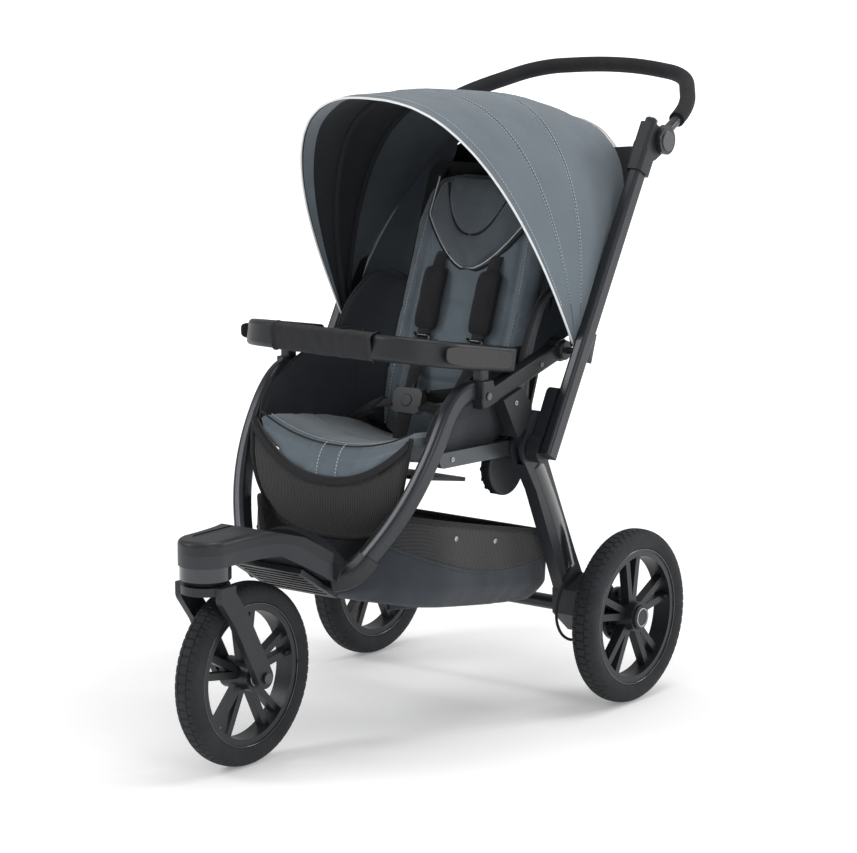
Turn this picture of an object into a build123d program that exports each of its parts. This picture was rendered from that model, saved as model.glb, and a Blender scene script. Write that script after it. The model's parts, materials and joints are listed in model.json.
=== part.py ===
"""Three-wheeled jogging stroller with a folding frame, a reclining seat and a telescoping canopy.

Units are millimetres, +Z is up and the front wheel points along -Y. The rider's left is +X.
Heights are measured from the ground. Fore-and-aft positions are measured from the rear axle,
positive behind it, and the three sketch planes below carry that shift.
"""
import os
from math import atan2, cos, degrees, radians, sin, tan

from build123d import *

os.makedirs("parts", exist_ok=True)

# ---- Driving dimensions -------------------------------------------------------------------
REAR_AXLE_Y = 231.4          # rear axle behind the middle of the overall length
WHEEL_R = 152.4              # 12 inch wheels
WHEELBASE = 705.0
REAR_WHEEL_X = 283.5         # half of the rear track
TRAIL = 90.0                 # the front axle runs this far behind its steering axis
TYRE_WIDTH = 46.0
RIM_R = 118.0
RIM_WIDTH = 34.0
AXLE_R = 6.0
RUNNING = 0.05               # radial clearance of every pin in its bore
BODY_GAP = 0.5               # side clearance between moving pieces

STEER_Y = -WHEELBASE - TRAIL
KNEE = (-213.0, 476.0)       # fold axis: legs, push frame and seat back all turn here
KNEE_PIN_R = 8.0
CANOPY_AXIS = (-118.0, 630.0)
TUBE_ANGLE = 60.0            # push tubes above the horizontal
TUBE_X = 262.0
TUBE_WIDTH = 22.0
TUBE_DEPTH = 30.0
TUBE_LENGTH = 555.0
HANDLE_AXIS = (100.0, 972.0)
HANDLE_ANGLE = 19.5
SEAT_BACK_ANGLE = 70.0
LEG_X = 215.0
LEG_WIDTH = 24.0
LINK_X = 210.0


def side(x):
    """Vertical plane at x; the sketch reads (behind the rear axle, height), outward is +X."""
    return Plane(origin=(x, REAR_AXLE_Y, 0), x_dir=(0, 1, 0), z_dir=(1, 0, 0))


def plan(z):
    """Horizontal plane at height z; the sketch reads (x, behind the rear axle)."""
    return Plane(origin=(0, REAR_AXLE_Y, z), x_dir=(1, 0, 0), z_dir=(0, 0, 1))


def front(y):
    """Vertical plane across the object; the sketch reads (x, height), outward is forward."""
    return Plane(origin=(0, REAR_AXLE_Y + y, 0), x_dir=(1, 0, 0), z_dir=(0, -1, 0))


def point(x, y, z):
    return Vector(x, REAR_AXLE_Y + y, z)


def cross_axis(y, z):
    """Axis along X through a side-view point."""
    return Axis((0, REAR_AXLE_Y + y, z), (1, 0, 0))


def inclined(y, z, angle, x=0.0):
    """Plane across the object whose sketch Y runs up a line inclined backward from the horizontal."""
    up = Vector(0, cos(radians(angle)), sin(radians(angle)))
    return Plane(origin=point(x, y, z), x_dir=(1, 0, 0), z_dir=Vector(1, 0, 0).cross(up))


def along(start, angle, distance, offset=0.0):
    """Side-view point at a distance up an inclined line, offset square to it toward the rear."""
    c, s = cos(radians(angle)), sin(radians(angle))
    return start[0] + c * distance + s * offset, start[1] + s * distance - c * offset


def strip(start, end, width):
    """Flat bar outline with round ends, drawn in the sketch that is open."""
    run = Vector(*end) - Vector(*start)
    middle = (Vector(*end) + Vector(*start)) / 2
    with Locations((middle.X, middle.Y)):
        SlotCenterToCenter(run.length, width, rotation=degrees(atan2(run.Y, run.X)))


def bar(points, width, depth, corner, stations):
    """Rounded rectangular bar that follows a smooth line through the given points."""
    with BuildPart() as shape:
        with BuildLine(mode=Mode.PRIVATE) as path:
            Spline(*[point(*p) for p in points])
        for station in range(stations + 1):
            centre = path.line @ (station / stations)
            tangent = path.line % (station / stations)
            across = Vector(1, 0, 0) - tangent * tangent.X
            with BuildSketch(Plane(origin=centre, x_dir=across, z_dir=tangent)):
                RectangleRounded(width, depth, corner)
        loft()
    return shape.part


def bend_radii(points):
    """Largest even radius at each corner of a cord: 0.45 of its shorter run each side."""
    corners = [Vector(*p) for p in points]
    radii = []
    for before, corner, after in zip(corners, corners[1:], corners[2:]):
        run_in, run_out = corner - before, after - corner
        half_turn = radians(run_in.get_angle(run_out)) / 2
        radii.append(0.45 * min(run_in.length, run_out.length) / tan(half_turn))
    return radii


def keep(part, name):
    part.label = name
    export_step(part, f"parts/{name}.step")


def keep_pair(part, name):
    """The part as built lies at the rider's left; its twin is mirrored to the right."""
    keep(part, f"{name}_left")
    with BuildPart() as twin:
        mirror(part, about=Plane.YZ)
    keep(twin.part, f"{name}_right")


# ---- Front frame --------------------------------------------------------------------------
FRONT_TUBE_LINE = [(197, -346, 590), (193, -390, 573), (193, -428, 527), (188, -462, 472),
                   (172, -497, 411), (150, -524, 363), (132, -541, 333)]
front_tube = bar(FRONT_TUBE_LINE, 22, 34, 8, 10)
keep_pair(front_tube, "front_tube")

FOOTREST_TILT = -32.0
FOOTREST_MID = (-598.0, 292.0)
FOOTREST_LENGTH = 112.0
FOOTREST_THICK = 8.0
NOSE_REAR_Y = -590.0

YOKE_LINE = [(132.2, -541.2, 332.6), (112, -560, 306), (84, -573, 296)]
with BuildPart() as front_yoke:
    add(bar(YOKE_LINE, 28, 40, 9, 6))
    with BuildSketch(front(-566)):
        with BuildLine():
            ThreePointArc((-112, 318), (0, 372), (112, 318))
            Line((112, 318), (104, 298))
            ThreePointArc((104, 298), (0, 360), (-104, 298))
            Line((-104, 298), (-112, 318))
        make_face()
    extrude(amount=-NOSE_REAR_Y - 566)
    mirror(about=Plane.YZ)
    add(front_tube, mode=Mode.SUBTRACT)
    mirror(front_tube, about=Plane.YZ, mode=Mode.SUBTRACT)
    with BuildSketch(inclined(*FOOTREST_MID, FOOTREST_TILT).offset(FOOTREST_THICK / 2)):
        with Locations((0, 34)):
            Rectangle(176, 14)
    extrude(amount=14)
keep(front_yoke.part, "front_yoke")

COLLAR_R = 44.0
CROWN_TOP = 320.0
COLLAR_TOP = 352.0
STEERER_R = 10.0


with BuildSketch(plan(0)) as nose_outline:   # round at the steering head, flared at the yoke
    with BuildLine():
        head = ThreePointArc((-COLLAR_R, STEER_Y), (0, STEER_Y - COLLAR_R), (COLLAR_R, STEER_Y))
        Spline(head @ 1, (54, -700), (98, -590), tangents=((0, 1), (0.25, 1)))
        Line((98, -590), (-98, -590))
        Spline((-98, -590), (-54, -700), head @ 0, tangents=((0.25, -1), (0, -1)))
    make_face()

with BuildPart() as nose_cover:
    extrude(nose_outline.sketch, amount=420)
    with BuildSketch(side(-110)):
        with BuildLine():
            Polyline((-850, 373), (-850, 395), (-700, 395), (-640, 378), (NOSE_REAR_Y, 345), (NOSE_REAR_Y, 322),
                     (-650, 364), (-680, 373), (-850, 373))
        make_face()
    extrude(amount=220, mode=Mode.INTERSECT)
    fillet(nose_cover.faces().sort_by(Axis.Z)[-1].edges().filter_by(Axis.X, reverse=True), 9)
    with BuildSketch(plan(395)):
        with Locations((0, -745)):
            RectangleRounded(52, 130, 24)
    extrude(amount=-1.5, mode=Mode.SUBTRACT)
keep(nose_cover.part, "nose_cover")

with BuildPart() as nose_base:
    extrude(nose_outline.sketch, amount=420)
    with BuildSketch(side(-110)):
        with BuildLine():
            Polyline((-850, COLLAR_TOP), (-850, 373), (-680, 373), (-650, 364), (NOSE_REAR_Y, 322),
                     (NOSE_REAR_Y, 298), (-646, 332), (-680, COLLAR_TOP), (-850, COLLAR_TOP))
        make_face()
    extrude(amount=220, mode=Mode.INTERSECT)
    with BuildSketch(plan(COLLAR_TOP)):
        with Locations((0, STEER_Y)):
            Circle(STEERER_R + RUNNING)
    extrude(amount=16, mode=Mode.SUBTRACT)
keep(nose_base.part, "nose_base")

with BuildPart() as swivel_collar:
    with BuildSketch(plan(CROWN_TOP + 1)):
        with Locations((0, STEER_Y)):
            Circle(COLLAR_R - 2)
            Circle(STEERER_R + RUNNING, mode=Mode.SUBTRACT)
    extrude(amount=COLLAR_TOP - CROWN_TOP - 1)
    chamfer(swivel_collar.faces().sort_by(Axis.Z)[0].outer_wire().edges(), 8)
keep(swivel_collar.part, "swivel_collar")

with BuildPart() as footrest:
    with BuildSketch(inclined(*FOOTREST_MID, FOOTREST_TILT)):
        Rectangle(150, FOOTREST_LENGTH)
    extrude(amount=FOOTREST_THICK / 2, both=True)
    with BuildSketch(inclined(*FOOTREST_MID, FOOTREST_TILT)):
        with GridLocations(0, 14, 1, 7):
            Rectangle(126, 7)
    extrude(amount=FOOTREST_THICK, both=True, mode=Mode.SUBTRACT)
keep(footrest.part, "footrest")

# ---- Arm links, knees and seat rails ------------------------------------------------------
LINK_DEPTH = 28.0
LINK_TOP = 606.0
ARMBAR_X = 205.0
SPIGOT_Y = -332.0
SPIGOT_R = 5.0
ARM_BUTTON = (-331.0, 580.0)
ARM_BUTTON_R = 7.0
with BuildPart() as arm_link:
    with BuildSketch(side(LINK_X - 11)):
        strip((-334, 574), CANOPY_AXIS, LINK_DEPTH)
        with Locations(CANOPY_AXIS):
            Circle(20)
        with BuildLine():
            Polyline((-346, 560), (-346, LINK_TOP), (-318, LINK_TOP), (-312, 594), (-312, 566), (-346, 560))
        make_face()
    extrude(amount=22)
    fillet(arm_link.faces().sort_by(Axis.X)[-1].edges(), 3)
    with BuildSketch(side(LINK_X + 11)):
        with Locations(CANOPY_AXIS):
            Circle(17)
    extrude(amount=9)
    fillet(arm_link.faces().sort_by(Axis.X)[-1].edges(), 3)
    with BuildSketch(plan(LINK_TOP)):
        with Locations((ARMBAR_X, SPIGOT_Y)):
            Circle(SPIGOT_R + 0.1)
    extrude(amount=-22, mode=Mode.SUBTRACT)
    with BuildSketch(side(LINK_X + 11)):
        with Locations(ARM_BUTTON):
            Circle(ARM_BUTTON_R + 0.1)
    extrude(amount=-7, mode=Mode.SUBTRACT)
    add(front_tube, mode=Mode.SUBTRACT)
keep_pair(arm_link.part, "arm_link")

TONGUE = 12.0
TONGUE_TOP = (-238.0, 528.0)
TONGUE_DEPTH = 36.0
LEG_CAP = (-202.0, 512.0)    # the rear leg's rounded top, above and behind the fold axis
LEG_CAP_R = 26.0
KNEE_HUB_R = 32.0
with BuildPart() as knee_strut:
    with BuildSketch(side(LEG_X - LEG_WIDTH / 2)):
        with BuildLine():
            Polyline((-302, 577), (-251, 592), (-216, 552), (-216, 520), (-256, 500), (-302, 577))
        make_face()
    extrude(amount=LEG_WIDTH)
    with BuildSketch(side(LEG_X - LEG_WIDTH / 2)):
        strip(KNEE, LEG_CAP, 2 * LEG_CAP_R + 3)
        with Locations(KNEE):
            Circle(KNEE_HUB_R + 1.5)
    extrude(amount=LEG_WIDTH, mode=Mode.SUBTRACT)
    with BuildSketch(side(LEG_X - TONGUE / 2)):
        strip(KNEE, TONGUE_TOP, TONGUE_DEPTH)
        with Locations(KNEE):
            Circle(KNEE_PIN_R, mode=Mode.SUBTRACT)
    extrude(amount=TONGUE)
    with BuildSketch(side(LEG_X - LEG_WIDTH / 2)):
        strip((-334, 574), CANOPY_AXIS, LINK_DEPTH)
    extrude(amount=LEG_WIDTH, mode=Mode.SUBTRACT)
    mirror(about=Plane.YZ)
keep(knee_strut.part, "knee_struts")

RAIL_X = 186.0
SEAT_EAR_X = 150.0
SEAT_PIN_R = 6.0
with BuildPart() as seat_rails:
    with BuildSketch(side(RAIL_X)):
        strip((-425, 484), KNEE, 26)
        with Locations(KNEE):
            Circle(22)
            Circle(KNEE_PIN_R, mode=Mode.SUBTRACT)
    extrude(amount=14)
    add(front_tube, mode=Mode.SUBTRACT)
    mirror(about=Plane.YZ)
keep(seat_rails.part, "seat_rails")

with BuildPart() as knee_pins:
    with BuildSketch(side(RAIL_X)):
        with Locations(KNEE):
            Circle(KNEE_PIN_R)
    extrude(amount=64)
    with BuildSketch(side(SEAT_EAR_X)):
        with Locations(KNEE):
            Circle(SEAT_PIN_R)
    extrude(amount=RAIL_X - SEAT_EAR_X)
    mirror(about=Plane.YZ)
keep(knee_pins.part, "knee_pins")

HUB_FOOT = (-228.0, 442.0)
with BuildPart() as fold_hubs:
    with BuildSketch(side(164)):
        with Locations(HUB_FOOT):
            Circle(47)
            with PolarLocations(46, 16):
                Circle(4)
    extrude(amount=12)
    with BuildSketch(side(176)):
        with Locations(HUB_FOOT):
            Circle(50)
    extrude(amount=9.5)
    fillet(fold_hubs.faces().sort_by(Axis.X)[-1].edges(), 4)
    with BuildSketch(side(164)):
        with Locations(KNEE):
            Circle(SEAT_PIN_R)
    extrude(amount=22, mode=Mode.SUBTRACT)
    mirror(about=Plane.YZ)
keep(fold_hubs.part, "fold_hubs")

# ---- Seat base ----------------------------------------------------------------------------
SEAT_TILT = -10.0
SEAT_MID = (-372.0, 440.0)
with BuildPart() as seat_pan:
    with BuildSketch(inclined(*SEAT_MID, SEAT_TILT)):
        RectangleRounded(318, 150, 20)
    extrude(amount=3, both=True)
keep(seat_pan.part, "seat_pan")

with BuildPart() as seat_cushion:
    with BuildSketch(front(-296)):
        with BuildLine():
            ThreePointArc((-164, 500), (0, 462), (164, 500))
            Line((164, 500), (158, 434))
            Line((158, 434), (-158, 434))
            Line((-158, 434), (-164, 500))
        make_face()
    with BuildSketch(front(-462)):
        with BuildLine():
            ThreePointArc((-164, 528), (0, 490), (164, 528))
            Line((164, 528), (158, 463))
            Line((158, 463), (-158, 463))
            Line((-158, 463), (-164, 528))
        make_face()
    loft()
keep(seat_cushion.part, "seat_cushion")

with BuildPart() as calf_flap:
    with BuildSketch(front(-466)):
        with BuildLine():
            Line((-160, 470), (160, 470))
            ThreePointArc((160, 470), (0, 345), (-160, 470))
        make_face()
    extrude(amount=12)
keep(calf_flap.part, "calf_flap")

with BuildPart() as side_panels:
    with BuildSketch(side(172)) as panel:
        with BuildLine():
            Polyline((-440, 510), (-400, 556), (-330, 590), (-240, 640), (-180, 640), (-200, 560),
                     (-250, 506), (-440, 510))
        make_face()
        fillet(panel.vertices(), 10)
    extrude(amount=8)
    mirror(about=Plane.YZ)
keep(side_panels.part, "side_panels")

BUCKLE = (-258.0, 538.0)
with BuildPart() as crotch_buckle:
    with BuildSketch(inclined(*BUCKLE, SEAT_BACK_ANGLE)):
        RectangleRounded(60, 44, 12)
    extrude(amount=8, both=True)
    with BuildSketch(inclined(*BUCKLE, SEAT_BACK_ANGLE)):
        Circle(11)
    extrude(amount=12, both=True, mode=Mode.SUBTRACT)
keep(crotch_buckle.part, "crotch_buckle")

with BuildPart() as buckle_button:
    with BuildSketch(inclined(*BUCKLE, SEAT_BACK_ANGLE)):
        Circle(10.5)
    extrude(amount=9.5)
    fillet(buckle_button.faces().sort_by(Axis.Y)[0].edges(), 1.5)
keep(buckle_button.part, "buckle_button")

# ---- Basket -------------------------------------------------------------------------------
BASKET_WALL = 3.0


def basket_body(inset, lift):
    """Basket envelope, drawn in by inset at its walls and floor and raised by lift at its rim."""
    with BuildSketch(plan(0)) as outline:
        with BuildLine():
            Polyline((-95 + inset, -536 + inset), (-150 + inset, -478), (-187 + inset, -400),
                     (-187 + inset, -104 - inset), (187 - inset, -104 - inset), (187 - inset, -400),
                     (150 - inset, -478), (95 - inset, -536 + inset), (-95 + inset, -536 + inset))
        make_face()
        fillet(outline.vertices(), 24)
    with BuildPart() as body:
        extrude(outline.sketch, amount=500)
        with BuildSketch(side(-200)):
            with BuildLine():
                Polyline((-540, 252 + inset), (-440, 232 + inset), (-100, 187 + inset),
                         (-100, 304 + lift), (-500, 396 + lift), (-540, 300 + lift),
                         (-540, 252 + inset))
            make_face()
        extrude(amount=400, mode=Mode.INTERSECT)
    return body.part


with BuildPart() as basket:
    add(basket_body(0, 0))
    add(basket_body(BASKET_WALL, 60), mode=Mode.SUBTRACT)
keep(basket.part, "basket")

# ---- Armbar -------------------------------------------------------------------------------
ARMBAR_SLOPE = -10.2
ARMBAR_REAR = (-256.0, 630.0)
ARMBAR_PLANE = inclined(*ARMBAR_REAR, ARMBAR_SLOPE)
ARMBAR_FRONT = -232.0
SLEEVE_END_X = 104.0
BAR_THICK = 24.0
BAR_TALL = 44.0


def bar_section(line):
    """Armbar section square to the start of a line drawn in the armbar's own plane."""
    return Plane(origin=line @ 0, x_dir=ARMBAR_PLANE.z_dir.cross(line % 0), z_dir=line % 0)


with BuildPart() as armbar_arms:
    with BuildLine(ARMBAR_PLANE) as corner:
        FilletPolyline((ARMBAR_X, 6), (ARMBAR_X, ARMBAR_FRONT), (SLEEVE_END_X, ARMBAR_FRONT),
                       radius=98)
    with BuildSketch(bar_section(corner.line)):
        RectangleRounded(BAR_THICK, BAR_TALL, 8)
    sweep()
    with BuildSketch(plan(LINK_TOP + BODY_GAP)):
        with Locations((ARMBAR_X, SPIGOT_Y)):
            RectangleRounded(18, 24, 4)
    extrude(amount=26)
    with BuildSketch(side(ARMBAR_X - BAR_THICK)):
        strip((-334, 574), CANOPY_AXIS, LINK_DEPTH + 2 * BODY_GAP)
    extrude(amount=2 * BAR_THICK, mode=Mode.SUBTRACT)
    with BuildSketch(plan(LINK_TOP - 20)):
        with Locations((ARMBAR_X, SPIGOT_Y)):
            Circle(SPIGOT_R)
    extrude(amount=30)
    mirror(about=Plane.YZ)
keep(armbar_arms.part, "armbar_arms")

with BuildPart() as armbar_sleeve:
    with BuildLine(ARMBAR_PLANE) as bow:
        Line((SLEEVE_END_X, ARMBAR_FRONT), (-SLEEVE_END_X, ARMBAR_FRONT))
    with BuildSketch(bar_section(bow.line)):
        RectangleRounded(BAR_THICK, BAR_TALL, 8)
    sweep()
keep(armbar_sleeve.part, "armbar_sleeve")

with BuildPart() as armbar_button:
    with BuildSketch(side(LINK_X + 7)):
        with Locations(ARM_BUTTON):
            Circle(ARM_BUTTON_R)
    extrude(amount=6.5)
    fillet(armbar_button.faces().sort_by(Axis.X)[-1].edges(), 1.5)
keep_pair(armbar_button.part, "armbar_button")

# ---- Fork and front wheel -----------------------------------------------------------------
FORK_IN_X = 36.0
FORK_ARM = 13.0
with BuildPart() as fork:
    with BuildSketch(plan(306)):
        with Locations((0, STEER_Y)):
            Circle(40)
            Rectangle(2 * (FORK_IN_X + FORK_ARM), 36)
    extrude(amount=CROWN_TOP - 306)
    for x in (FORK_IN_X, -FORK_IN_X - FORK_ARM):
        with BuildSketch(side(x)):
            strip((STEER_Y, 302), (STEER_Y + 30, 262), 36)
            strip((STEER_Y + 30, 262), (-WHEELBASE, WHEEL_R), 36)
            with Locations((-WHEELBASE, WHEEL_R)):
                Circle(AXLE_R, mode=Mode.SUBTRACT)
        extrude(amount=FORK_ARM)
keep(fork.part, "fork")

with BuildPart() as steerer_pin:
    with BuildSketch(plan(CROWN_TOP)):
        with Locations((0, STEER_Y)):
            Circle(STEERER_R)
    extrude(amount=COLLAR_TOP + 15 - CROWN_TOP)
keep(steerer_pin.part, "steerer_pin")

with BuildPart() as front_axle:
    with BuildSketch(side(-54)):
        with Locations((-WHEELBASE, WHEEL_R)):
            Circle(AXLE_R)
    extrude(amount=108)
    for x in (-54, 50):
        with BuildSketch(side(x)):
            with Locations((-WHEELBASE, WHEEL_R)):
                Circle(9)
        extrude(amount=4)
keep(front_axle.part, "front_axle")

SPOKES = 5
HUB_R = 26.0
BEARING_R = 14.0
BEARING_WIDTH = 8.0


def wheel_rim(x, y, hub_in, hub_out):
    """Rim with five split spokes about a hub that reaches hub_in and hub_out from the middle."""
    with BuildPart() as rim:
        with BuildSketch(side(x - RIM_WIDTH / 2)):
            with Locations((y, WHEEL_R)):
                Circle(RIM_R)
                Circle(RIM_R - 12, mode=Mode.SUBTRACT)
        extrude(amount=RIM_WIDTH)
        with BuildSketch(side(x - 8)):
            with Locations((y, WHEEL_R)):
                with PolarLocations(66, SPOKES, start_angle=90):
                    for lean in (-1, 1):
                        with Locations((0, lean * 11)):
                            Rectangle(92, 12, rotation=lean * 9)
        extrude(amount=16)
        with BuildSketch(side(x - hub_in)):
            with Locations((y, WHEEL_R)):
                Circle(HUB_R)
        extrude(amount=hub_in + hub_out)
    return rim.part


def tyre(x, y):
    centre = point(x, y, WHEEL_R)
    with BuildPart() as ring:
        with BuildSketch(Plane(origin=centre, x_dir=(1, 0, 0), z_dir=(0, -1, 0))):
            with Locations((0, (WHEEL_R + RIM_R) / 2)):
                RectangleRounded(TYRE_WIDTH, WHEEL_R - RIM_R, 13)
        revolve(axis=cross_axis(y, WHEEL_R))
    return ring.part


with BuildPart() as front_rim:
    add(wheel_rim(0, -WHEELBASE, 30, 30))
    with BuildSketch(side(-30)):
        with Locations((-WHEELBASE, WHEEL_R)):
            Circle(BEARING_R)
    extrude(amount=60, mode=Mode.SUBTRACT)
keep(front_rim.part, "front_rim")
keep(tyre(0, -WHEELBASE), "front_tyre")

with BuildPart() as front_bearings:
    for x in (-30, 30 - BEARING_WIDTH):
        with BuildSketch(side(x)):
            with Locations((-WHEELBASE, WHEEL_R)):
                Circle(BEARING_R)
                Circle(AXLE_R + RUNNING, mode=Mode.SUBTRACT)
        extrude(amount=BEARING_WIDTH)
keep(front_bearings.part, "front_bearings")

# ---- Rear legs, axle, brake and rear wheels -----------------------------------------------
LEG_FOOT_FRONT = (-115.0, 212.0)
LEG_FOOT_REAR = (-62.0, 233.0)
with BuildPart() as rear_leg:
    with BuildSketch(side(LEG_X - LEG_WIDTH / 2)):
        with BuildLine():
            Polyline((-242, 463), (-201, 399), (-140, 266), LEG_FOOT_FRONT, LEG_FOOT_REAR, (-84, 275),
                     (-131, 372), (-181, 476), (-242, 463))
        make_face()
        strip(KNEE, LEG_CAP, 2 * LEG_CAP_R)
        with Locations(KNEE):
            Circle(KNEE_HUB_R)
    extrude(amount=LEG_WIDTH)
    with BuildSketch(side(LEG_X - TONGUE / 2 - BODY_GAP)):
        strip(KNEE, TONGUE_TOP, TONGUE_DEPTH + 3)
        with Locations(KNEE):
            Circle(KNEE_HUB_R + 1.5)
    extrude(amount=TONGUE + 2 * BODY_GAP, mode=Mode.SUBTRACT)
    with BuildSketch(side(LEG_X - LEG_WIDTH / 2)):
        with Locations(KNEE):
            Circle(KNEE_PIN_R + RUNNING)
    extrude(amount=LEG_WIDTH, mode=Mode.SUBTRACT)
keep_pair(rear_leg.part, "rear_leg")

HOUSING_IN_X = 201.0
HOUSING_OUT_X = 254.5
BRAKE_PIN_R = 4.0
BRAKE_RADIUS = 38.0
BRAKE_SLOTS = 12
BRAKE_PIN = along((0.0, WHEEL_R), 135, BRAKE_RADIUS)
with BuildPart() as hub_housings:
    with BuildSketch(side(HOUSING_IN_X)):
        with BuildLine():
            Polyline(LEG_FOOT_FRONT, LEG_FOOT_REAR, (-6, 204), (26, 172), (28, 142), (4, 122),
                     (-66, 128), (-114, 168), LEG_FOOT_FRONT)
        make_face()
    extrude(amount=HOUSING_OUT_X - HOUSING_IN_X)
    fillet(hub_housings.faces().sort_by(Axis.X)[-1].edges(), 5)
    with BuildSketch(side(HOUSING_IN_X)):
        with Locations((0, WHEEL_R)):
            Circle(AXLE_R)
        with Locations(BRAKE_PIN):
            Circle(BRAKE_PIN_R + RUNNING)
    extrude(amount=HOUSING_OUT_X - HOUSING_IN_X, mode=Mode.SUBTRACT)
    mirror(about=Plane.YZ)
keep(hub_housings.part, "hub_housings")

with BuildPart() as rear_axle:
    with BuildSketch(side(-HOUSING_IN_X)):
        with Locations((0, WHEEL_R)):
            Circle(13)
    extrude(amount=2 * HOUSING_IN_X)
    with BuildSketch(side(-304)):
        with Locations((0, WHEEL_R)):
            Circle(AXLE_R)
    extrude(amount=608)
keep(rear_axle.part, "rear_axle")

with BuildPart() as brake_pin:
    with BuildSketch(side(235)):
        with Locations(BRAKE_PIN):
            Circle(BRAKE_PIN_R)
    extrude(amount=20)
keep_pair(brake_pin.part, "brake_pin")

CABLE_R = 2.5
CABLE_ROUTE = [(225, -100, 244), (232, -124, 226), (232, -144, 196), (232, -148, 164),
               (234, -134, 136), (238, -106, 120), (242, -70, 133)]
print("brake cable radii", [round(r, 1) for r in bend_radii(CABLE_ROUTE)])
with BuildPart() as brake_cables:
    with BuildLine() as route:
        FilletPolyline(*[point(*p) for p in CABLE_ROUTE], radius=bend_radii(CABLE_ROUTE))
    with BuildSketch(Plane(origin=route.line @ 0, z_dir=route.line % 0)):
        Circle(CABLE_R)
    sweep()
    mirror(about=Plane.YZ)
keep(brake_cables.part, "brake_cables")

with BuildPart() as rear_rim:
    add(wheel_rim(REAR_WHEEL_X, 0, 21, 23))
    with BuildSketch(side(REAR_WHEEL_X + 23)):
        with Locations((0, WHEEL_R)):
            Circle(21)
    extrude(amount=5.5)
    fillet(rear_rim.faces().sort_by(Axis.X)[-1].edges(), 2.5)
    with BuildSketch(side(REAR_WHEEL_X - 27)):
        with Locations((0, WHEEL_R)):
            Circle(BRAKE_RADIUS + 9)
            with PolarLocations(BRAKE_RADIUS, BRAKE_SLOTS, start_angle=15):
                Circle(BRAKE_PIN_R + 1, mode=Mode.SUBTRACT)
    extrude(amount=8)
    with BuildSketch(side(REAR_WHEEL_X - 27)):
        with Locations((0, WHEEL_R)):
            Circle(AXLE_R + RUNNING)
    extrude(amount=48, mode=Mode.SUBTRACT)
keep_pair(rear_rim.part, "rear_rim")
keep_pair(tyre(REAR_WHEEL_X, 0), "rear_tyre")

# ---- Push frame ---------------------------------------------------------------------------
TUBE_SQUARE = Plane(origin=point(TUBE_X, *KNEE), x_dir=(1, 0, 0),
                    z_dir=(0, cos(radians(TUBE_ANGLE)), sin(radians(TUBE_ANGLE))))
TUBE_WALL = 2.0
TUBE_FOOT = 12.0             # solid end below the fold axis
CANOPY_PIN_R = 6.0
with BuildPart() as push_tube:
    with BuildSketch(TUBE_SQUARE.offset(-TUBE_FOOT)):
        RectangleRounded(TUBE_WIDTH, TUBE_DEPTH, 6.5)
    extrude(amount=TUBE_LENGTH + TUBE_FOOT)
    with BuildSketch(TUBE_SQUARE.offset(20)):
        RectangleRounded(TUBE_WIDTH - 2 * TUBE_WALL, TUBE_DEPTH - 2 * TUBE_WALL, 4.5)
    extrude(amount=TUBE_LENGTH - 20, mode=Mode.SUBTRACT)
    for reach, radius in ((1.7, 12), (19, CANOPY_PIN_R)):
        with BuildSketch(side(TUBE_X - TUBE_WIDTH / 2 - reach)):
            with Locations(CANOPY_AXIS):
                Circle(radius)
        extrude(amount=reach + 1)
keep_pair(push_tube.part, "push_tube")

BRACKET_IN_X = 230.0
with BuildPart() as push_brackets:
    with BuildSketch(side(BRACKET_IN_X)):
        with Locations(KNEE):
            Circle(24)
        strip(KNEE, along(KNEE, TUBE_ANGLE, 96, -4), 26)
        with Locations(KNEE):
            Circle(KNEE_PIN_R + RUNNING, mode=Mode.SUBTRACT)
    extrude(amount=TUBE_X - TUBE_WIDTH / 2 - BRACKET_IN_X)
    mirror(about=Plane.YZ)
keep(push_brackets.part, "push_brackets")

SLEEVE_FOOT = 513.0
SLEEVE_TOP = 602.0
SLEEVE_IN_X = 247.0
SLEEVE_WIDTH = 30.0
TONGUE_IN_X = 254.5
TONGUE_WIDTH = 15.0
HANDLE_PIN_R = 6.0
DIAL_TOP = along(KNEE, TUBE_ANGLE, SLEEVE_TOP)
with BuildPart() as handle_sleeves:
    with BuildSketch(TUBE_SQUARE.offset(SLEEVE_FOOT)):
        RectangleRounded(SLEEVE_WIDTH, 38, 7)
    extrude(amount=SLEEVE_TOP - SLEEVE_FOOT)
    with BuildSketch(side(SLEEVE_IN_X)):
        strip(along(KNEE, TUBE_ANGLE, 560, 4), HANDLE_AXIS, 40)
        with Locations(HANDLE_AXIS):
            Circle(24)
    extrude(amount=SLEEVE_WIDTH)
    with BuildSketch(TUBE_SQUARE.offset(SLEEVE_FOOT)):
        RectangleRounded(TUBE_WIDTH, TUBE_DEPTH, 6.5)
    extrude(amount=TUBE_LENGTH - SLEEVE_FOOT, mode=Mode.SUBTRACT)
    with BuildSketch(side(TONGUE_IN_X - BODY_GAP)):
        with Locations(HANDLE_AXIS):
            Circle(26)
        strip(HANDLE_AXIS, along(HANDLE_AXIS, HANDLE_ANGLE, 60), 40)
    extrude(amount=TONGUE_WIDTH + 2 * BODY_GAP, mode=Mode.SUBTRACT)
    with BuildSketch(side(SLEEVE_IN_X)):
        with Locations(HANDLE_AXIS):
            Circle(HANDLE_PIN_R + RUNNING)
    extrude(amount=SLEEVE_WIDTH, mode=Mode.SUBTRACT)
    mirror(about=Plane.YZ)
keep(handle_sleeves.part, "handle_sleeves")

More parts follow.
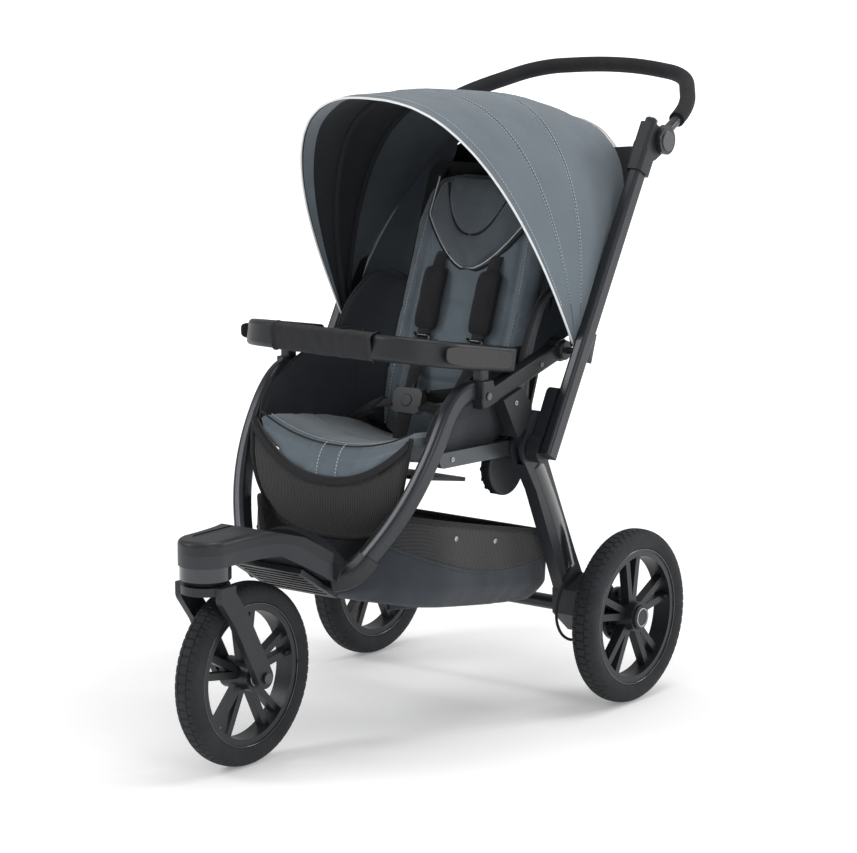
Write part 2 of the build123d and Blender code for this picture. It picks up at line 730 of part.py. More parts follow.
DIAL_R = 11.0
with BuildPart() as control_dial:
    with BuildSketch(TUBE_SQUARE.offset(SLEEVE_TOP + 0.2)):
        with Locations((0, -6)):
            Circle(DIAL_R)
    extrude(amount=11)
    fillet(control_dial.faces().sort_by(Axis.Z)[-1].edges(), 4)
keep(control_dial.part, "brake_dial")
with BuildPart() as swivel_dial:
    mirror(control_dial.part, about=Plane.YZ)
keep(swivel_dial.part, "swivel_dial")

# ---- Handlebar ----------------------------------------------------------------------------
HANDLE_PLANE = inclined(*HANDLE_AXIS, HANDLE_ANGLE)
GRIP_R = 14.0
HANDLE_TUBE_R = 9.0
HANDLE_SIDE = [(262, 28), (256, 70)]
GRIP_SIDE = [(240, 146), (160, 270)]
HANDLE_TOP = (0, 308)
GRIP_FOOT = (252.8, 85.2)     # a fifth of the way up the side's second straight
SIDE_BENDS = [60]
GRIP_BENDS = [260, 120]
TOP_BEND = 370
DISC_X = SLEEVE_IN_X + SLEEVE_WIDTH + BODY_GAP
DISC_WIDTH = 9.5
DISC_R = 24.0
BUTTON_R = 17.5


def horseshoe(side_points, side_bends):
    """Handlebar line from the left side, over the top, to the right side."""
    mirrored = [(-x, y) for x, y in reversed(side_points)]
    with BuildLine(HANDLE_PLANE) as path:
        FilletPolyline(*side_points, HANDLE_TOP, *mirrored,
                       radius=[*side_bends, TOP_BEND, *reversed(side_bends)])
    return path.line


with BuildPart() as handle_tube:
    tube_line = horseshoe(HANDLE_SIDE + GRIP_SIDE, SIDE_BENDS + GRIP_BENDS)
    with BuildSketch(Plane(origin=tube_line @ 0, z_dir=tube_line % 0)):
        Circle(HANDLE_TUBE_R)
    sweep(path=tube_line)
    for x in (TONGUE_IN_X, -TONGUE_IN_X - TONGUE_WIDTH):
        with BuildSketch(side(x)):
            with Locations(HANDLE_AXIS):
                Circle(22)
            strip(HANDLE_AXIS, along(HANDLE_AXIS, HANDLE_ANGLE, 34), 24)
        extrude(amount=TONGUE_WIDTH)
    for x in (SLEEVE_IN_X, -DISC_X):
        with BuildSketch(side(x)):
            with Locations(HANDLE_AXIS):
                Circle(HANDLE_PIN_R)
        extrude(amount=DISC_X - SLEEVE_IN_X)
    for x, recess in ((DISC_X, DISC_X + 2), (-DISC_X - DISC_WIDTH, -DISC_X - DISC_WIDTH)):
        with BuildSketch(side(x)):
            with Locations(HANDLE_AXIS):
                Circle(DISC_R)
        extrude(amount=DISC_WIDTH)
        with BuildSketch(side(recess)):
            with Locations(HANDLE_AXIS):
                Circle(BUTTON_R + 0.1)
        extrude(amount=DISC_WIDTH - 2, mode=Mode.SUBTRACT)
keep(handle_tube.part, "handle_tube")

with BuildPart() as handle_button:
    with BuildSketch(side(DISC_X + 6)):
        with Locations(HANDLE_AXIS):
            Circle(BUTTON_R)
    extrude(amount=5.5)
    fillet(handle_button.faces().sort_by(Axis.X)[-1].edges(), 1.5)
keep_pair(handle_button.part, "handle_button")

with BuildPart() as foam_grip:
    grip_line = horseshoe([GRIP_FOOT, *GRIP_SIDE], GRIP_BENDS)
    with BuildSketch(Plane(origin=grip_line @ 0, z_dir=grip_line % 0)):
        Circle(GRIP_R)
        Circle(HANDLE_TUBE_R, mode=Mode.SUBTRACT)
    sweep(path=grip_line)
keep(foam_grip.part, "foam_grip")

# ---- Seat back ----------------------------------------------------------------------------
CUSHION_FRONT = 34.0         # how far the seat back's face stands behind the knee axis, square to it
CUSHION_THICK = 32.0
with BuildPart() as seat_back_board:
    mid = along(KNEE, SEAT_BACK_ANGLE, 243, CUSHION_FRONT + CUSHION_THICK)
    with BuildSketch(inclined(*mid, SEAT_BACK_ANGLE)):
        RectangleRounded(316, 504, 30)
    extrude(amount=-6)
    for x in (SEAT_EAR_X, -SEAT_EAR_X - 12):
        with BuildSketch(side(x)):
            with Locations(KNEE):
                Circle(14)
            strip(KNEE, along(KNEE, SEAT_BACK_ANGLE, 30, CUSHION_FRONT + 33), 14)
            with Locations(KNEE):
                Circle(SEAT_PIN_R + RUNNING, mode=Mode.SUBTRACT)
        extrude(amount=12)
keep(seat_back_board.part, "seat_back_board")

with BuildPart() as back_cushion:
    mid = along(KNEE, SEAT_BACK_ANGLE, 228, CUSHION_FRONT)
    with BuildSketch(inclined(*mid, SEAT_BACK_ANGLE)):
        RectangleRounded(296, 506, 40)
    extrude(amount=-CUSHION_THICK)
    fillet(back_cushion.faces().sort_by(Axis.Y)[0].edges(), 10)
keep(back_cushion.part, "back_cushion")

with BuildPart() as head_pad:
    mid = along(KNEE, SEAT_BACK_ANGLE, 380, CUSHION_FRONT)
    with BuildSketch(inclined(*mid, SEAT_BACK_ANGLE)):
        RectangleRounded(196, 130, 40)
    extrude(amount=22)
    fillet(head_pad.faces().sort_by(Axis.Y)[0].edges(), 8)
keep(head_pad.part, "head_pad")

with BuildPart() as shoulder_pads:
    mid = along(KNEE, SEAT_BACK_ANGLE, 232, CUSHION_FRONT)
    with BuildSketch(inclined(*mid, SEAT_BACK_ANGLE)):
        with GridLocations(104, 0, 2, 1):
            RectangleRounded(38, 120, 8)
    extrude(amount=14)
keep(shoulder_pads.part, "shoulder_pads")

# ---- Canopy -------------------------------------------------------------------------------
CANOPY_HALF_WIDTH = 249.0
ARCH_POWER = 2.6
SKIN = 2.0
NEST = 3.5                   # each panel slides this far inside the one in front of it
PANEL_ANGLE = 18.5
PANEL_STEP = 17.0
CANOPY_FRONT_ANGLE = 60.0    # front edge above the forward horizontal
PANEL_RADII = [(501, 470, 446), (442, 436, 432), (428, 426, 425), (421, 421, 421)]
EYE_R = 14.0


def arch(half_width, radius):
    """Points over the canopy's arch from the left foot to the right one, feet left out."""
    angles = [10 + 10 * step for step in range(8)]
    half = [(half_width * cos(radians(t)) ** (2 / ARCH_POWER),
             radius * sin(radians(t)) ** (2 / ARCH_POWER)) for t in angles]
    return [*half, (0, radius), *[(-x, r) for x, r in reversed(half)]]


def arch_plane(angle):
    """Plane through the canopy axis, its sketch Y rising at an angle above the forward direction."""
    up = Vector(0, -cos(radians(angle)), sin(radians(angle)))
    return Plane(origin=point(0, *CANOPY_AXIS), x_dir=(1, 0, 0), z_dir=Vector(1, 0, 0).cross(up))


def canopy_panel(order):
    """One panel of the canopy: a skin over three bows, with a hinge eye at each foot."""
    half_width = CANOPY_HALF_WIDTH - order * NEST
    start = CANOPY_FRONT_ANGLE + order * PANEL_STEP
    with BuildPart() as panel:
        for step, radius in enumerate(PANEL_RADII[order]):
            with BuildSketch(arch_plane(start + step * PANEL_ANGLE / 2)):
                with BuildLine():
                    outer = Spline((half_width, EYE_R / 2), *arch(half_width, radius),
                                   (-half_width, EYE_R / 2))
                    inner = Spline((half_width - SKIN, EYE_R / 2),
                                   *arch(half_width - SKIN, radius - SKIN),
                                   (-half_width + SKIN, EYE_R / 2))
                    Line(outer @ 0, inner @ 0)
                    Line(outer @ 1, inner @ 1)
                make_face()
        loft()
        for x in (half_width - SKIN, -half_width):
            with BuildSketch(side(x)):
                with Locations(CANOPY_AXIS):
                    Circle(EYE_R)
            extrude(amount=SKIN)
            with BuildSketch(side(x - SKIN)):
                with Locations(CANOPY_AXIS):
                    Circle(CANOPY_PIN_R + RUNNING)
            extrude(amount=3 * SKIN, mode=Mode.SUBTRACT)
    return panel.part


for order, name in enumerate(("canopy_front", "canopy_bow_front", "canopy_bow_rear")):
    keep(canopy_panel(order), name)

CLOSURE_FOOT = 350.0         # the closing web at the back starts this far above the canopy axis
with BuildPart() as canopy_rear:
    add(canopy_panel(3))
    with BuildSketch(arch_plane(CANOPY_FRONT_ANGLE + 3 * PANEL_STEP + PANEL_ANGLE)):
        with BuildLine():
            rim = Spline(*arch(CANOPY_HALF_WIDTH - 3 * NEST - SKIN / 2, PANEL_RADII[3][-1] - SKIN / 2))
            Line(rim @ 0, rim @ 1)
        make_face()
        with Locations((0, CLOSURE_FOOT / 2)):
            Rectangle(2 * CANOPY_HALF_WIDTH, CLOSURE_FOOT, mode=Mode.SUBTRACT)
    extrude(amount=-3)
keep(canopy_rear.part, "canopy_rear")

# ---- Fasteners ----------------------------------------------------------------------------
SCREW_R = 4.0
with BuildPart() as frame_screws:
    for x, place in ((RAIL_X + 14, (-404, 483)), (LINK_X + 11, (-180, 613)), (LEG_X + 12, (-262, 560))):
        with BuildSketch(side(x)):
            with Locations(place):
                Circle(SCREW_R)
                RegularPolygon(2, 6, mode=Mode.SUBTRACT)
        extrude(amount=1.6)
    mirror(about=Plane.YZ)
keep(frame_screws.part, "frame_screws")
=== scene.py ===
"""Jogging stroller: the soft goods, tyres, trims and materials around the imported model."""
import json
from math import cos, pi, radians, sin, sqrt, tan

import bpy
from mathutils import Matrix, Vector, noise


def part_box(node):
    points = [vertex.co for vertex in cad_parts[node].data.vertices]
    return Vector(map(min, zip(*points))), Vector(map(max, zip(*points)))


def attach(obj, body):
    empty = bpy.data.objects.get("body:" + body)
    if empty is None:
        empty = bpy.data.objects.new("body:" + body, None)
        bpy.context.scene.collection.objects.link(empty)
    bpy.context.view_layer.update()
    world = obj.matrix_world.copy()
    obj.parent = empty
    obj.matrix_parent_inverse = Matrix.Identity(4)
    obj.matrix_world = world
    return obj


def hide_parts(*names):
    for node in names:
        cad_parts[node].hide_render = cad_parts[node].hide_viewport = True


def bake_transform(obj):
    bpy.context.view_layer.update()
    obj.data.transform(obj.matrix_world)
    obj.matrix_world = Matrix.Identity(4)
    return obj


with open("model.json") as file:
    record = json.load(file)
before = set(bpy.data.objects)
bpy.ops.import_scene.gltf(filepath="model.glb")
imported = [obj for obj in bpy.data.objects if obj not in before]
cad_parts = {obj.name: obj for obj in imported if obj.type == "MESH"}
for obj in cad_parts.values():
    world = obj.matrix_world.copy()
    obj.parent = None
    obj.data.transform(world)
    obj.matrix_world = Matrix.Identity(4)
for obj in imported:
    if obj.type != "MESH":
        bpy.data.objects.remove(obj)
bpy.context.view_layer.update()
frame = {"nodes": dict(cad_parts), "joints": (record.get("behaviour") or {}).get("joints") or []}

MM = 0.001
ACROSS = Vector((1, 0, 0))
UPWARD = Vector((0, 0, 1))
SIDES = (("left", 1), ("right", -1))       # the rider's left is +X
JOINT = {j["name"]: j for j in frame["joints"]}
KNEE = Vector(JOINT["fold"]["pos_m"])
CANOPY = Vector(JOINT["canopy_close"]["pos_m"])
AXLE_Y = JOINT["rear_wheel_left_spin"]["pos_m"][1]
KNEE_BACK, KNEE_UP = (KNEE.y - AXLE_Y) / MM, KNEE.z / MM


def at(x, back, up):
    """A place given in millimetres: across, behind the rear axle, above the ground."""
    return Vector((x * MM, AXLE_Y + back * MM, up * MM))


def signed_power(value, power):
    """A power of the value's size, with the value's sign."""
    return abs(value) ** power * (1 if value > 0 else -1)


def between(value, pairs):
    """Straight-line value from a rising list of (place, value) pairs."""
    for (a, p), (b, q) in zip(pairs, pairs[1:]):
        if value <= b:
            return p + (q - p) * max(0.0, (value - a) / (b - a))
    return pairs[-1][1]


# ---- Materials ----------------------------------------------------------------------------
class Nodes:
    """Short names for the nodes of one procedural material."""

    def __init__(self, name, colour, roughness, metallic=0.0):
        self.material = bpy.data.materials.new(name)
        self.material.use_nodes = True
        self.tree = self.material.node_tree
        self.shader = self.tree.nodes["Principled BSDF"]
        self.put("Base Color", (*colour, 1))
        self.put("Roughness", roughness)
        self.put("Metallic", metallic)
        self.place = self.new("TexCoord").outputs["Object"]

    def new(self, kind):
        return self.tree.nodes.new("ShaderNode" + kind)

    def put(self, socket, value):
        self.shader.inputs[socket].default_value = value

    def link(self, output, socket):
        self.tree.links.new(output, socket)

    def noise(self, scale, detail=3.0, stretch=None):
        node = self.new("TexNoise")
        node.inputs["Scale"].default_value = scale
        node.inputs["Detail"].default_value = detail
        place = self.place
        if stretch:
            mapping = self.new("Mapping")
            mapping.inputs["Scale"].default_value = stretch
            self.link(place, mapping.inputs["Vector"])
            place = mapping.outputs["Vector"]
        self.link(place, node.inputs["Vector"])
        return node.outputs["Fac"]

    def wave(self, axis, pitch, turn=0.0):
        """Bands across an axis at a pitch in metres, turned about X by an angle in degrees."""
        node = self.new("TexWave")
        node.bands_direction = axis
        node.inputs["Scale"].default_value = 0.314 / pitch
        node.inputs["Distortion"].default_value = 0.25
        mapping = self.new("Mapping")
        mapping.inputs["Rotation"].default_value = (radians(turn), radians(turn), radians(turn))
        self.link(self.place, mapping.inputs["Vector"])
        self.link(mapping.outputs["Vector"], node.inputs["Vector"])
        return node.outputs["Fac"]

    def maths(self, kind, a, b):
        node = self.new("Math")
        node.operation = kind
        for socket, value in zip(node.inputs, (a, b)):
            if isinstance(value, (int, float)):
                socket.default_value = value
            else:
                self.link(value, socket)
        return node.outputs[0]

    def tint(self, factor, dark, light, low=0.3, high=0.7):
        """Base colour that runs from dark to light as a factor rises."""
        ramp = self.new("ValToRGB")
        ramp.color_ramp.elements[0].position = low
        ramp.color_ramp.elements[0].color = (*dark, 1)
        ramp.color_ramp.elements[1].position = high
        ramp.color_ramp.elements[1].color = (*light, 1)
        self.link(factor, ramp.inputs["Fac"])
        self.link(ramp.outputs["Color"], self.shader.inputs["Base Color"])

    def rough(self, factor, low, high):
        span = self.maths("MULTIPLY", factor, high - low)
        self.link(self.maths("ADD", span, low), self.shader.inputs["Roughness"])

    def bump(self, height, distance, strength=1.0):
        node = self.new("Bump")
        node.inputs["Distance"].default_value = distance
        node.inputs["Strength"].default_value = strength
        self.link(height, node.inputs["Height"])
        if self.shader.inputs["Normal"].links:
            self.link(self.shader.inputs["Normal"].links[0].from_socket, node.inputs["Normal"])
        self.link(node.outputs["Normal"], self.shader.inputs["Normal"])


def shade(colour, share):
    return tuple(c * share for c in colour)


def plastic(name, colour, roughness=0.42, grain=0.00005, coat=0.0):
    """Moulded plastic with a fine spark-eroded grain and faint handling marks."""
    m = Nodes(name, colour, roughness)
    m.tint(m.noise(9, 4), shade(colour, 0.86), shade(colour, 1.16))
    m.rough(m.noise(28, 5), roughness - 0.07, roughness + 0.1)
    m.bump(m.noise(2400, 2), grain)
    m.bump(m.noise(14, 2), 0.0004, 0.25)
    m.put("Specular IOR Level", 0.4)
    m.put("Coat Weight", coat)
    m.put("Coat Roughness", 0.12)
    return m.material


def paint(name, colour, roughness=0.36):
    """Powder-coated metal: a slight orange peel and a metallic fleck."""
    m = Nodes(name, colour, roughness, 0.55)
    m.tint(m.noise(1500, 1), shade(colour, 0.8), shade(colour, 1.3))
    m.rough(m.noise(16, 4), roughness - 0.06, roughness + 0.09)
    m.bump(m.noise(420, 2), 0.00005, 0.6)
    m.put("Coat Weight", 0.25)
    m.put("Coat Roughness", 0.2)
    return m.material


def metal(name, colour, roughness=0.28):
    m = Nodes(name, colour, roughness, 1.0)
    m.rough(m.noise(60, 5, (1, 1, 14)), roughness - 0.08, roughness + 0.14)
    m.bump(m.noise(500, 3, (1, 1, 20)), 0.00003, 0.5)
    return m.material


def rubber(name, colour, roughness=0.72, grain=0.00012):
    m = Nodes(name, colour, roughness)
    m.tint(m.noise(18, 5), shade(colour, 0.75), shade(colour, 1.35))
    m.rough(m.noise(50, 4), roughness - 0.12, roughness + 0.08)
    m.put("Specular IOR Level", 0.35)
    m.bump(m.noise(900, 3), grain)
    return m.material


def cloth(name, colour, pitch=0.0009, contrast=0.16, sheen=0.35):
    """Plain weave: threads along all three axes, a mottled dye and soft creases."""
    m = Nodes(name, colour, 0.86)
    threads = m.maths("ADD", m.maths("ADD", m.wave("X", pitch), m.wave("Y", pitch)),
                      m.wave("Z", pitch))
    mottle = m.maths("ADD", m.maths("MULTIPLY", m.noise(11, 5), 0.8),
                     m.maths("MULTIPLY", m.noise(900, 2), 0.2))
    m.tint(mottle, shade(colour, 1 - contrast), shade(colour, 1 + contrast))
    m.bump(threads, pitch * 0.16, 0.8)
    m.bump(m.noise(34, 3, (1, 1, 0.4)), 0.0009, 0.35)
    m.put("Sheen Weight", sheen)
    m.put("Sheen Roughness", 0.45)
    return m.material


def netting(name, colour, pitch=0.0035):
    """Open diagonal mesh, dark in its holes."""
    m = Nodes(name, colour, 0.8)
    holes = m.maths("MULTIPLY", m.wave("Z", pitch, 45), m.wave("Y", pitch, 45))
    m.tint(holes, shade(colour, 1.5), shade(colour, 0.25), 0.15, 0.5)
    m.bump(holes, -0.0006)
    m.put("Sheen Weight", 0.2)
    return m.material


def ribbed(name, colour, pitch=0.0034):
    """Knitted spacer mesh with fine upright ribs."""
    m = Nodes(name, colour, 0.8)
    ribs = m.maths("ADD", m.wave("X", pitch), m.maths("MULTIPLY", m.wave("Z", pitch * 0.6), 0.6))
    m.tint(ribs, shade(colour, 0.5), shade(colour, 1.7), 0.2, 1.2)
    m.bump(ribs, 0.0005)
    m.put("Sheen Weight", 0.3)
    return m.material


PAINT = paint("frame paint", (0.022, 0.025, 0.030))
RAIL_PAINT = paint("seat rail paint", (0.046, 0.052, 0.058), 0.32)
PLASTIC = plastic("moulded plastic", (0.0115, 0.0135, 0.0165))
PLASTIC_GLOSS = plastic("polished plastic", (0.013, 0.015, 0.018), 0.16, 0.00001, 0.6)
PLASTIC_GREY = plastic("grey plastic", (0.019, 0.0225, 0.027), 0.42)
BUCKLE_PLASTIC = plastic("buckle plastic", (0.050, 0.056, 0.062), 0.38)
RIM = plastic("wheel plastic", (0.0115, 0.0135, 0.0165), 0.36)
STEEL = metal("zinc plated steel", (0.42, 0.43, 0.44), 0.34)
DARK_STEEL = metal("blackened steel", (0.10, 0.10, 0.105), 0.4)
TYRE = rubber("tyre rubber", (0.0125, 0.0145, 0.0175))
FOAM = rubber("grip foam", (0.010, 0.0105, 0.012), 0.85, 0.0003)
CANOPY_CLOTH = cloth("slate canopy cloth", (0.108, 0.138, 0.162), 0.0008, 0.07, 0.25)
SEAT_CLOTH = cloth("slate seat cloth", (0.120, 0.154, 0.180), 0.0009, 0.2)
HEAD_CLOTH = cloth("head rest cloth", (0.085, 0.103, 0.120), 0.0009, 0.2)
DARK_CLOTH = cloth("dark slate cloth", (0.017, 0.021, 0.029), 0.0009, 0.2, 0.12)
BASKET_CLOTH = cloth("basket cloth", (0.025, 0.031, 0.040), 0.0011, 0.2, 0.15)
BLACK_CLOTH = cloth("black cloth", (0.0085, 0.009, 0.011), 0.0009, 0.25, 0.08)
LINING = cloth("canopy lining", (0.010, 0.0115, 0.016), 0.0009, 0.25, 0.06)
WEBBING = cloth("webbing", (0.011, 0.0115, 0.013), 0.0021, 0.25, 0.15)
PIPING = cloth("white piping", (0.78, 0.79, 0.80), 0.0012, 0.04, 0.2)
BLACK_PIPING = cloth("black piping", (0.008, 0.008, 0.010), 0.0012, 0.2, 0.1)
THREAD = cloth("pale thread", (0.55, 0.58, 0.60), 0.0004, 0.05, 0.1)
NET = netting("basket netting", (0.013, 0.0135, 0.015))
RIBS = ribbed("flap mesh", (0.0100, 0.0102, 0.0110))


# ---- Mesh helpers -------------------------------------------------------------------------
def piece_from(name, verts, faces, material):
    mesh = bpy.data.meshes.new(name)
    mesh.from_pydata([tuple(v) for v in verts], [], faces)
    mesh.update()
    piece = bpy.data.objects.new(name, mesh)
    bpy.context.scene.collection.objects.link(piece)
    mesh.materials.append(material)
    mesh.shade_smooth()
    return piece


def grid_faces(rows, columns, loop_rows=False, loop_columns=False):
    """Quads between rows of points; a loop joins the last row or column to the first."""
    faces = []
    for i in range(rows if loop_rows else rows - 1):
        for j in range(columns if loop_columns else columns - 1):
            a, b = i * columns, ((i + 1) % rows) * columns
            k = (j + 1) % columns
            faces.append((a + j, a + k, b + k, b + j))
    return faces


def surface(name, rows, material, slot=None, **loops):
    verts = [p for row in rows for p in row]
    return piece_from(name, verts, grid_faces(len(rows), len(rows[0]), **loops), material)


def smooth_line(points, steps=8, closed=False):
    """Catmull-Rom curve through the points."""
    n = len(points)
    out = []
    for i in range(n if closed else n - 1):
        p = [points[k % n] if closed else points[min(max(k, 0), n - 1)] for k in range(i - 1, i + 3)]
        for s in range(steps):
            t = s / steps
            out.append(0.5 * (2 * p[1] + (p[2] - p[0]) * t + (2 * p[0] - 5 * p[1] + 4 * p[2] - p[3]) * t * t
                              + (3 * p[1] - p[0] - 3 * p[2] + p[3]) * t ** 3))
    return out if closed else [*out, points[-1]]


def lofted(name, rings, material):
    """Closed solid over equal rings of points, capped at both ends."""
    count = len(rings[0])
    last = (len(rings) - 1) * count
    faces = grid_faces(len(rings), count, loop_columns=True)
    faces += [tuple(range(count))[::-1], tuple(range(last, last + count))]
    return piece_from(name, [p for ring in rings for p in ring], faces, material)


def swept(name, points, section, material, up):
    """A flat section of (across, up) pairs carried along a line, square to it."""
    rings = []
    for i, p in enumerate(points):
        ahead = (points[min(i + 1, len(points) - 1)] - points[max(i - 1, 0)]).normalized()
        across = ahead.cross(up).normalized()
        lift = across.cross(ahead)
        rings.append([p + across * a + lift * b for a, b in section])
    return lofted(name, rings, material)


def tube(name, points, radius, material, sides=10, up=UPWARD):
    turns = [2 * pi * k / sides for k in range(sides)]
    section = [(radius * cos(t), radius * sin(t)) for t in turns]
    return swept(name, points, section, material, up)


def strap(name, points, width, thick, material, out):
    """Flat webbing along a line; out is the direction its face looks."""
    bevel = thick * 0.35
    half, deep = width / 2, thick / 2
    section = [(-half, -deep + bevel), (-half + bevel, -deep), (half - bevel, -deep), (half, -deep + bevel),
               (half, deep - bevel), (half - bevel, deep), (-half + bevel, deep), (-half, deep - bevel)]
    return swept(name, points, section, material, out)


DASH, GAP = 0.0035, 0.0025


def stitches(name, points, body=None, radius=0.0006):
    """Dashes of thread along a line, as one piece."""
    verts, faces = [], []
    travelled, lengths = 0.0, [0.0]
    for a, b in zip(points, points[1:]):
        travelled += (b - a).length
        lengths.append(travelled)

    def place(s):
        for k in range(len(points) - 1):
            if lengths[k + 1] >= s:
                f = (s - lengths[k]) / max(lengths[k + 1] - lengths[k], 1e-9)
                return points[k].lerp(points[k + 1], f)
        return points[-1]

    s = 0.0
    while s + DASH < travelled:
        a, b = place(s), place(s + DASH)
        ahead = (b - a).normalized()
        side = ahead.orthogonal().normalized()
        other = ahead.cross(side)
        first = len(verts)
        for p in (a, b):
            for k in range(5):
                t = 2 * pi * k / 5
                verts.append(p + (side * cos(t) + other * sin(t)) * radius)
        faces += [(first + k, first + (k + 1) % 5, first + 5 + (k + 1) % 5, first + 5 + k) for k in range(5)]
        faces += [tuple(first + 4 - k for k in range(5)), tuple(first + 5 + k for k in range(5))]
        s += DASH + GAP
    piece = piece_from(name, verts, faces, THREAD)
    if body:
        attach(piece, body)
    return piece


def apply_modifiers(piece):
    depsgraph = bpy.context.evaluated_depsgraph_get()
    mesh = bpy.data.meshes.new_from_object(piece.evaluated_get(depsgraph))
    piece.modifiers.clear()
    piece.data = mesh
    mesh.shade_smooth()


def swell(piece, cap, voxel):
    """Blows the pad up like a stuffed cover, moving no point further than cap, then smooths it."""
    remesh = piece.modifiers.new("remesh", "REMESH")
    remesh.mode = "VOXEL"
    remesh.voxel_size = voxel
    apply_modifiers(piece)
    before = [v.co.copy() for v in piece.data.vertices]
    sewn = piece.modifiers.new("cloth", "CLOTH")
    sewn.settings.use_pressure = True
    sewn.settings.uniform_pressure_force = 4.0
    sewn.settings.effector_weights.gravity = 0
    sewn.settings.quality = 5
    sewn.point_cache.frame_start = 1
    sewn.point_cache.frame_end = 20
    for number in range(1, 21):
        bpy.context.scene.frame_set(number)
    apply_modifiers(piece)
    for v, old in zip(piece.data.vertices, before):
        move = v.co - old
        if move.length > cap:
            v.co = old + move * (cap / move.length)
    bpy.context.scene.frame_set(1)
    relax = piece.modifiers.new("relax", "SMOOTH")
    relax.factor = 0.5
    relax.iterations = 6
    apply_modifiers(piece)


def refine(piece):
    finer = piece.modifiers.new("finer", "SUBSURF")
    finer.levels = finer.render_levels = 1
    apply_modifiers(piece)


def thicken(piece, thickness, offset=-1.0):
    solid = piece.modifiers.new("thick", "SOLIDIFY")
    solid.thickness = thickness
    solid.offset = offset
    apply_modifiers(piece)


class Face:
    """A flat working plane: origin, across, up the pad and out of it."""

    def __init__(self, origin, angle):
        self.origin = origin
        self.up = Vector((0, cos(radians(angle)), sin(radians(angle))))
        self.out = ACROSS.cross(self.up)

    def place(self, x, y, z=0.0):
        """Millimetres across, up and out."""
        return self.origin + (ACROSS * x + self.up * y + self.out * z) * MM

    def read(self, p):
        d = (p - self.origin) / MM
        return d.dot(ACROSS), d.dot(self.up), d.dot(self.out)


def closed_pad(name, face, half_width, bottom, top, thick, material, base, steps, square=4.0):
    """Crowned closed pad: half_width(y) millimetres wide, from bottom to top, thick at its middle."""
    verts, front, back = [], {}, {}
    for i in range(steps + 1):
        v = -1 + 2 * i / steps
        for j in range(steps + 1):
            u = -1 + 2 * j / steps
            pull_in = sqrt(1 - 0.16 * u * u * abs(u) ** square)
            y = bottom + (top - bottom) * (v * pull_in + 1) / 2
            x = u * sqrt(1 - 0.16 * v * v * abs(v) ** square) * half_width(y)
            crown = max(0.0, (1 - abs(u) ** square) * (1 - abs(v) ** square)) ** 0.5
            rim = i in (0, steps) or j in (0, steps)
            front[i, j] = len(verts)
            verts.append(face.place(x, y, thick * crown))
            if rim:
                back[i, j] = front[i, j]
            else:
                back[i, j] = len(verts)
                verts.append(face.place(x, y, base * min(1.0, 3 * crown)))
    faces = []
    for i in range(steps):
        for j in range(steps):
            faces.append((front[i, j], front[i, j + 1], front[i + 1, j + 1], front[i + 1, j]))
            faces.append((back[i, j], back[i + 1, j], back[i + 1, j + 1], back[i, j + 1]))
    return piece_from(name, verts, faces, material)


def press(piece, face, depth):
    """Moves the points of a pad's face in by depth(x, y) millimetres; negative stands out."""
    for v in piece.data.vertices:
        x, y, z = face.read(v.co)
        if z > -2:
            v.co -= face.out * depth(x, y) * MM


def groove(distance, width, depth):
    """Depth of a rounded sewn groove at a distance from its line."""
    d = abs(distance) / width
    return depth * (1 - d) ** 2 if d < 1 else 0.0


def wrinkle(x, y, scale, size, seed):
    return size * noise.noise(Vector((x * scale, y * scale, seed)))


def drape_noise(piece, size, scale):
    """Gentle unevenness of hand-sewn cloth, square to its surface."""
    normals = [v.normal.copy() for v in piece.data.vertices]
    for v, n in zip(piece.data.vertices, normals):
        v.co += n * noise.noise(v.co * scale) * size


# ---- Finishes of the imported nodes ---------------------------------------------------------
FINISHES = {
    PAINT: ["front_tube_left", "front_tube_right", "push_tube_left", "push_tube_right", "rear_axle",
            "handle_tube"],
    RAIL_PAINT: ["seat_rails"],
    BUCKLE_PLASTIC: ["crotch_buckle", "buckle_button"],
    BLACK_CLOTH: ["seat_back_board"],
    PLASTIC_GREY: ["nose_base", "hub_housings", "rear_leg_left", "rear_leg_right"],
    PLASTIC_GLOSS: ["swivel_collar", "brake_dial", "swivel_dial", "handle_button_left",
                    "handle_button_right", "armbar_button_left", "armbar_button_right"],
    RIM: ["front_rim", "rear_rim_left", "rear_rim_right"],
    STEEL: ["frame_screws", "steerer_pin", "knee_pins", "front_bearings", "brake_pin_left",
            "brake_pin_right"],
    DARK_STEEL: ["front_axle"],
    FOAM: ["foam_grip", "brake_cables"],
}
finished = {node: material for material, nodes in FINISHES.items() for node in nodes}
for node, packed in frame["nodes"].items():
    packed.data.materials.clear()
    packed.data.materials.append(finished.get(node, PLASTIC))


# ---- Canopy -------------------------------------------------------------------------------
RIDGE = [(60, 501), (68, 470), (77, 447), (85, 435), (94, 428), (100, 428), (110, 432), (120, 443),
         (127, 458)]         # (angle, radius) along the canopy's top
FRONT_EDGE, FRONT_SEAM, REAR_SEAM, REAR_EDGE = 60.0, 77.0, 95.0, 127.0
ARCH_POWER = 2.6
ARCH_STEPS = 96


def canopy_point(angle, turn, inset=0.0):
    """A place on the canopy: angle above straight ahead, turn from the left foot, 0, to the right, 180."""
    half = 249 + 10 * (angle - FRONT_EDGE) / (REAR_EDGE - FRONT_EDGE) - inset
    radius = between(angle, RIDGE) - inset
    t, a = radians(turn), radians(angle)
    x = half * signed_power(cos(t), 2 / ARCH_POWER)
    r = 10 + (radius - 10) * abs(sin(t)) ** (2 / ARCH_POWER)
    slack = 2.4 * noise.noise(Vector((turn * 0.05, angle * 0.09, 3.0)))
    pull = 1.3 * noise.noise(Vector((turn * 0.22 + angle * 0.2, angle * 0.10, 8.0)))
    r += (slack + pull) * sin(t)
    return CANOPY + Vector((x, -r * cos(a), r * sin(a))) * MM


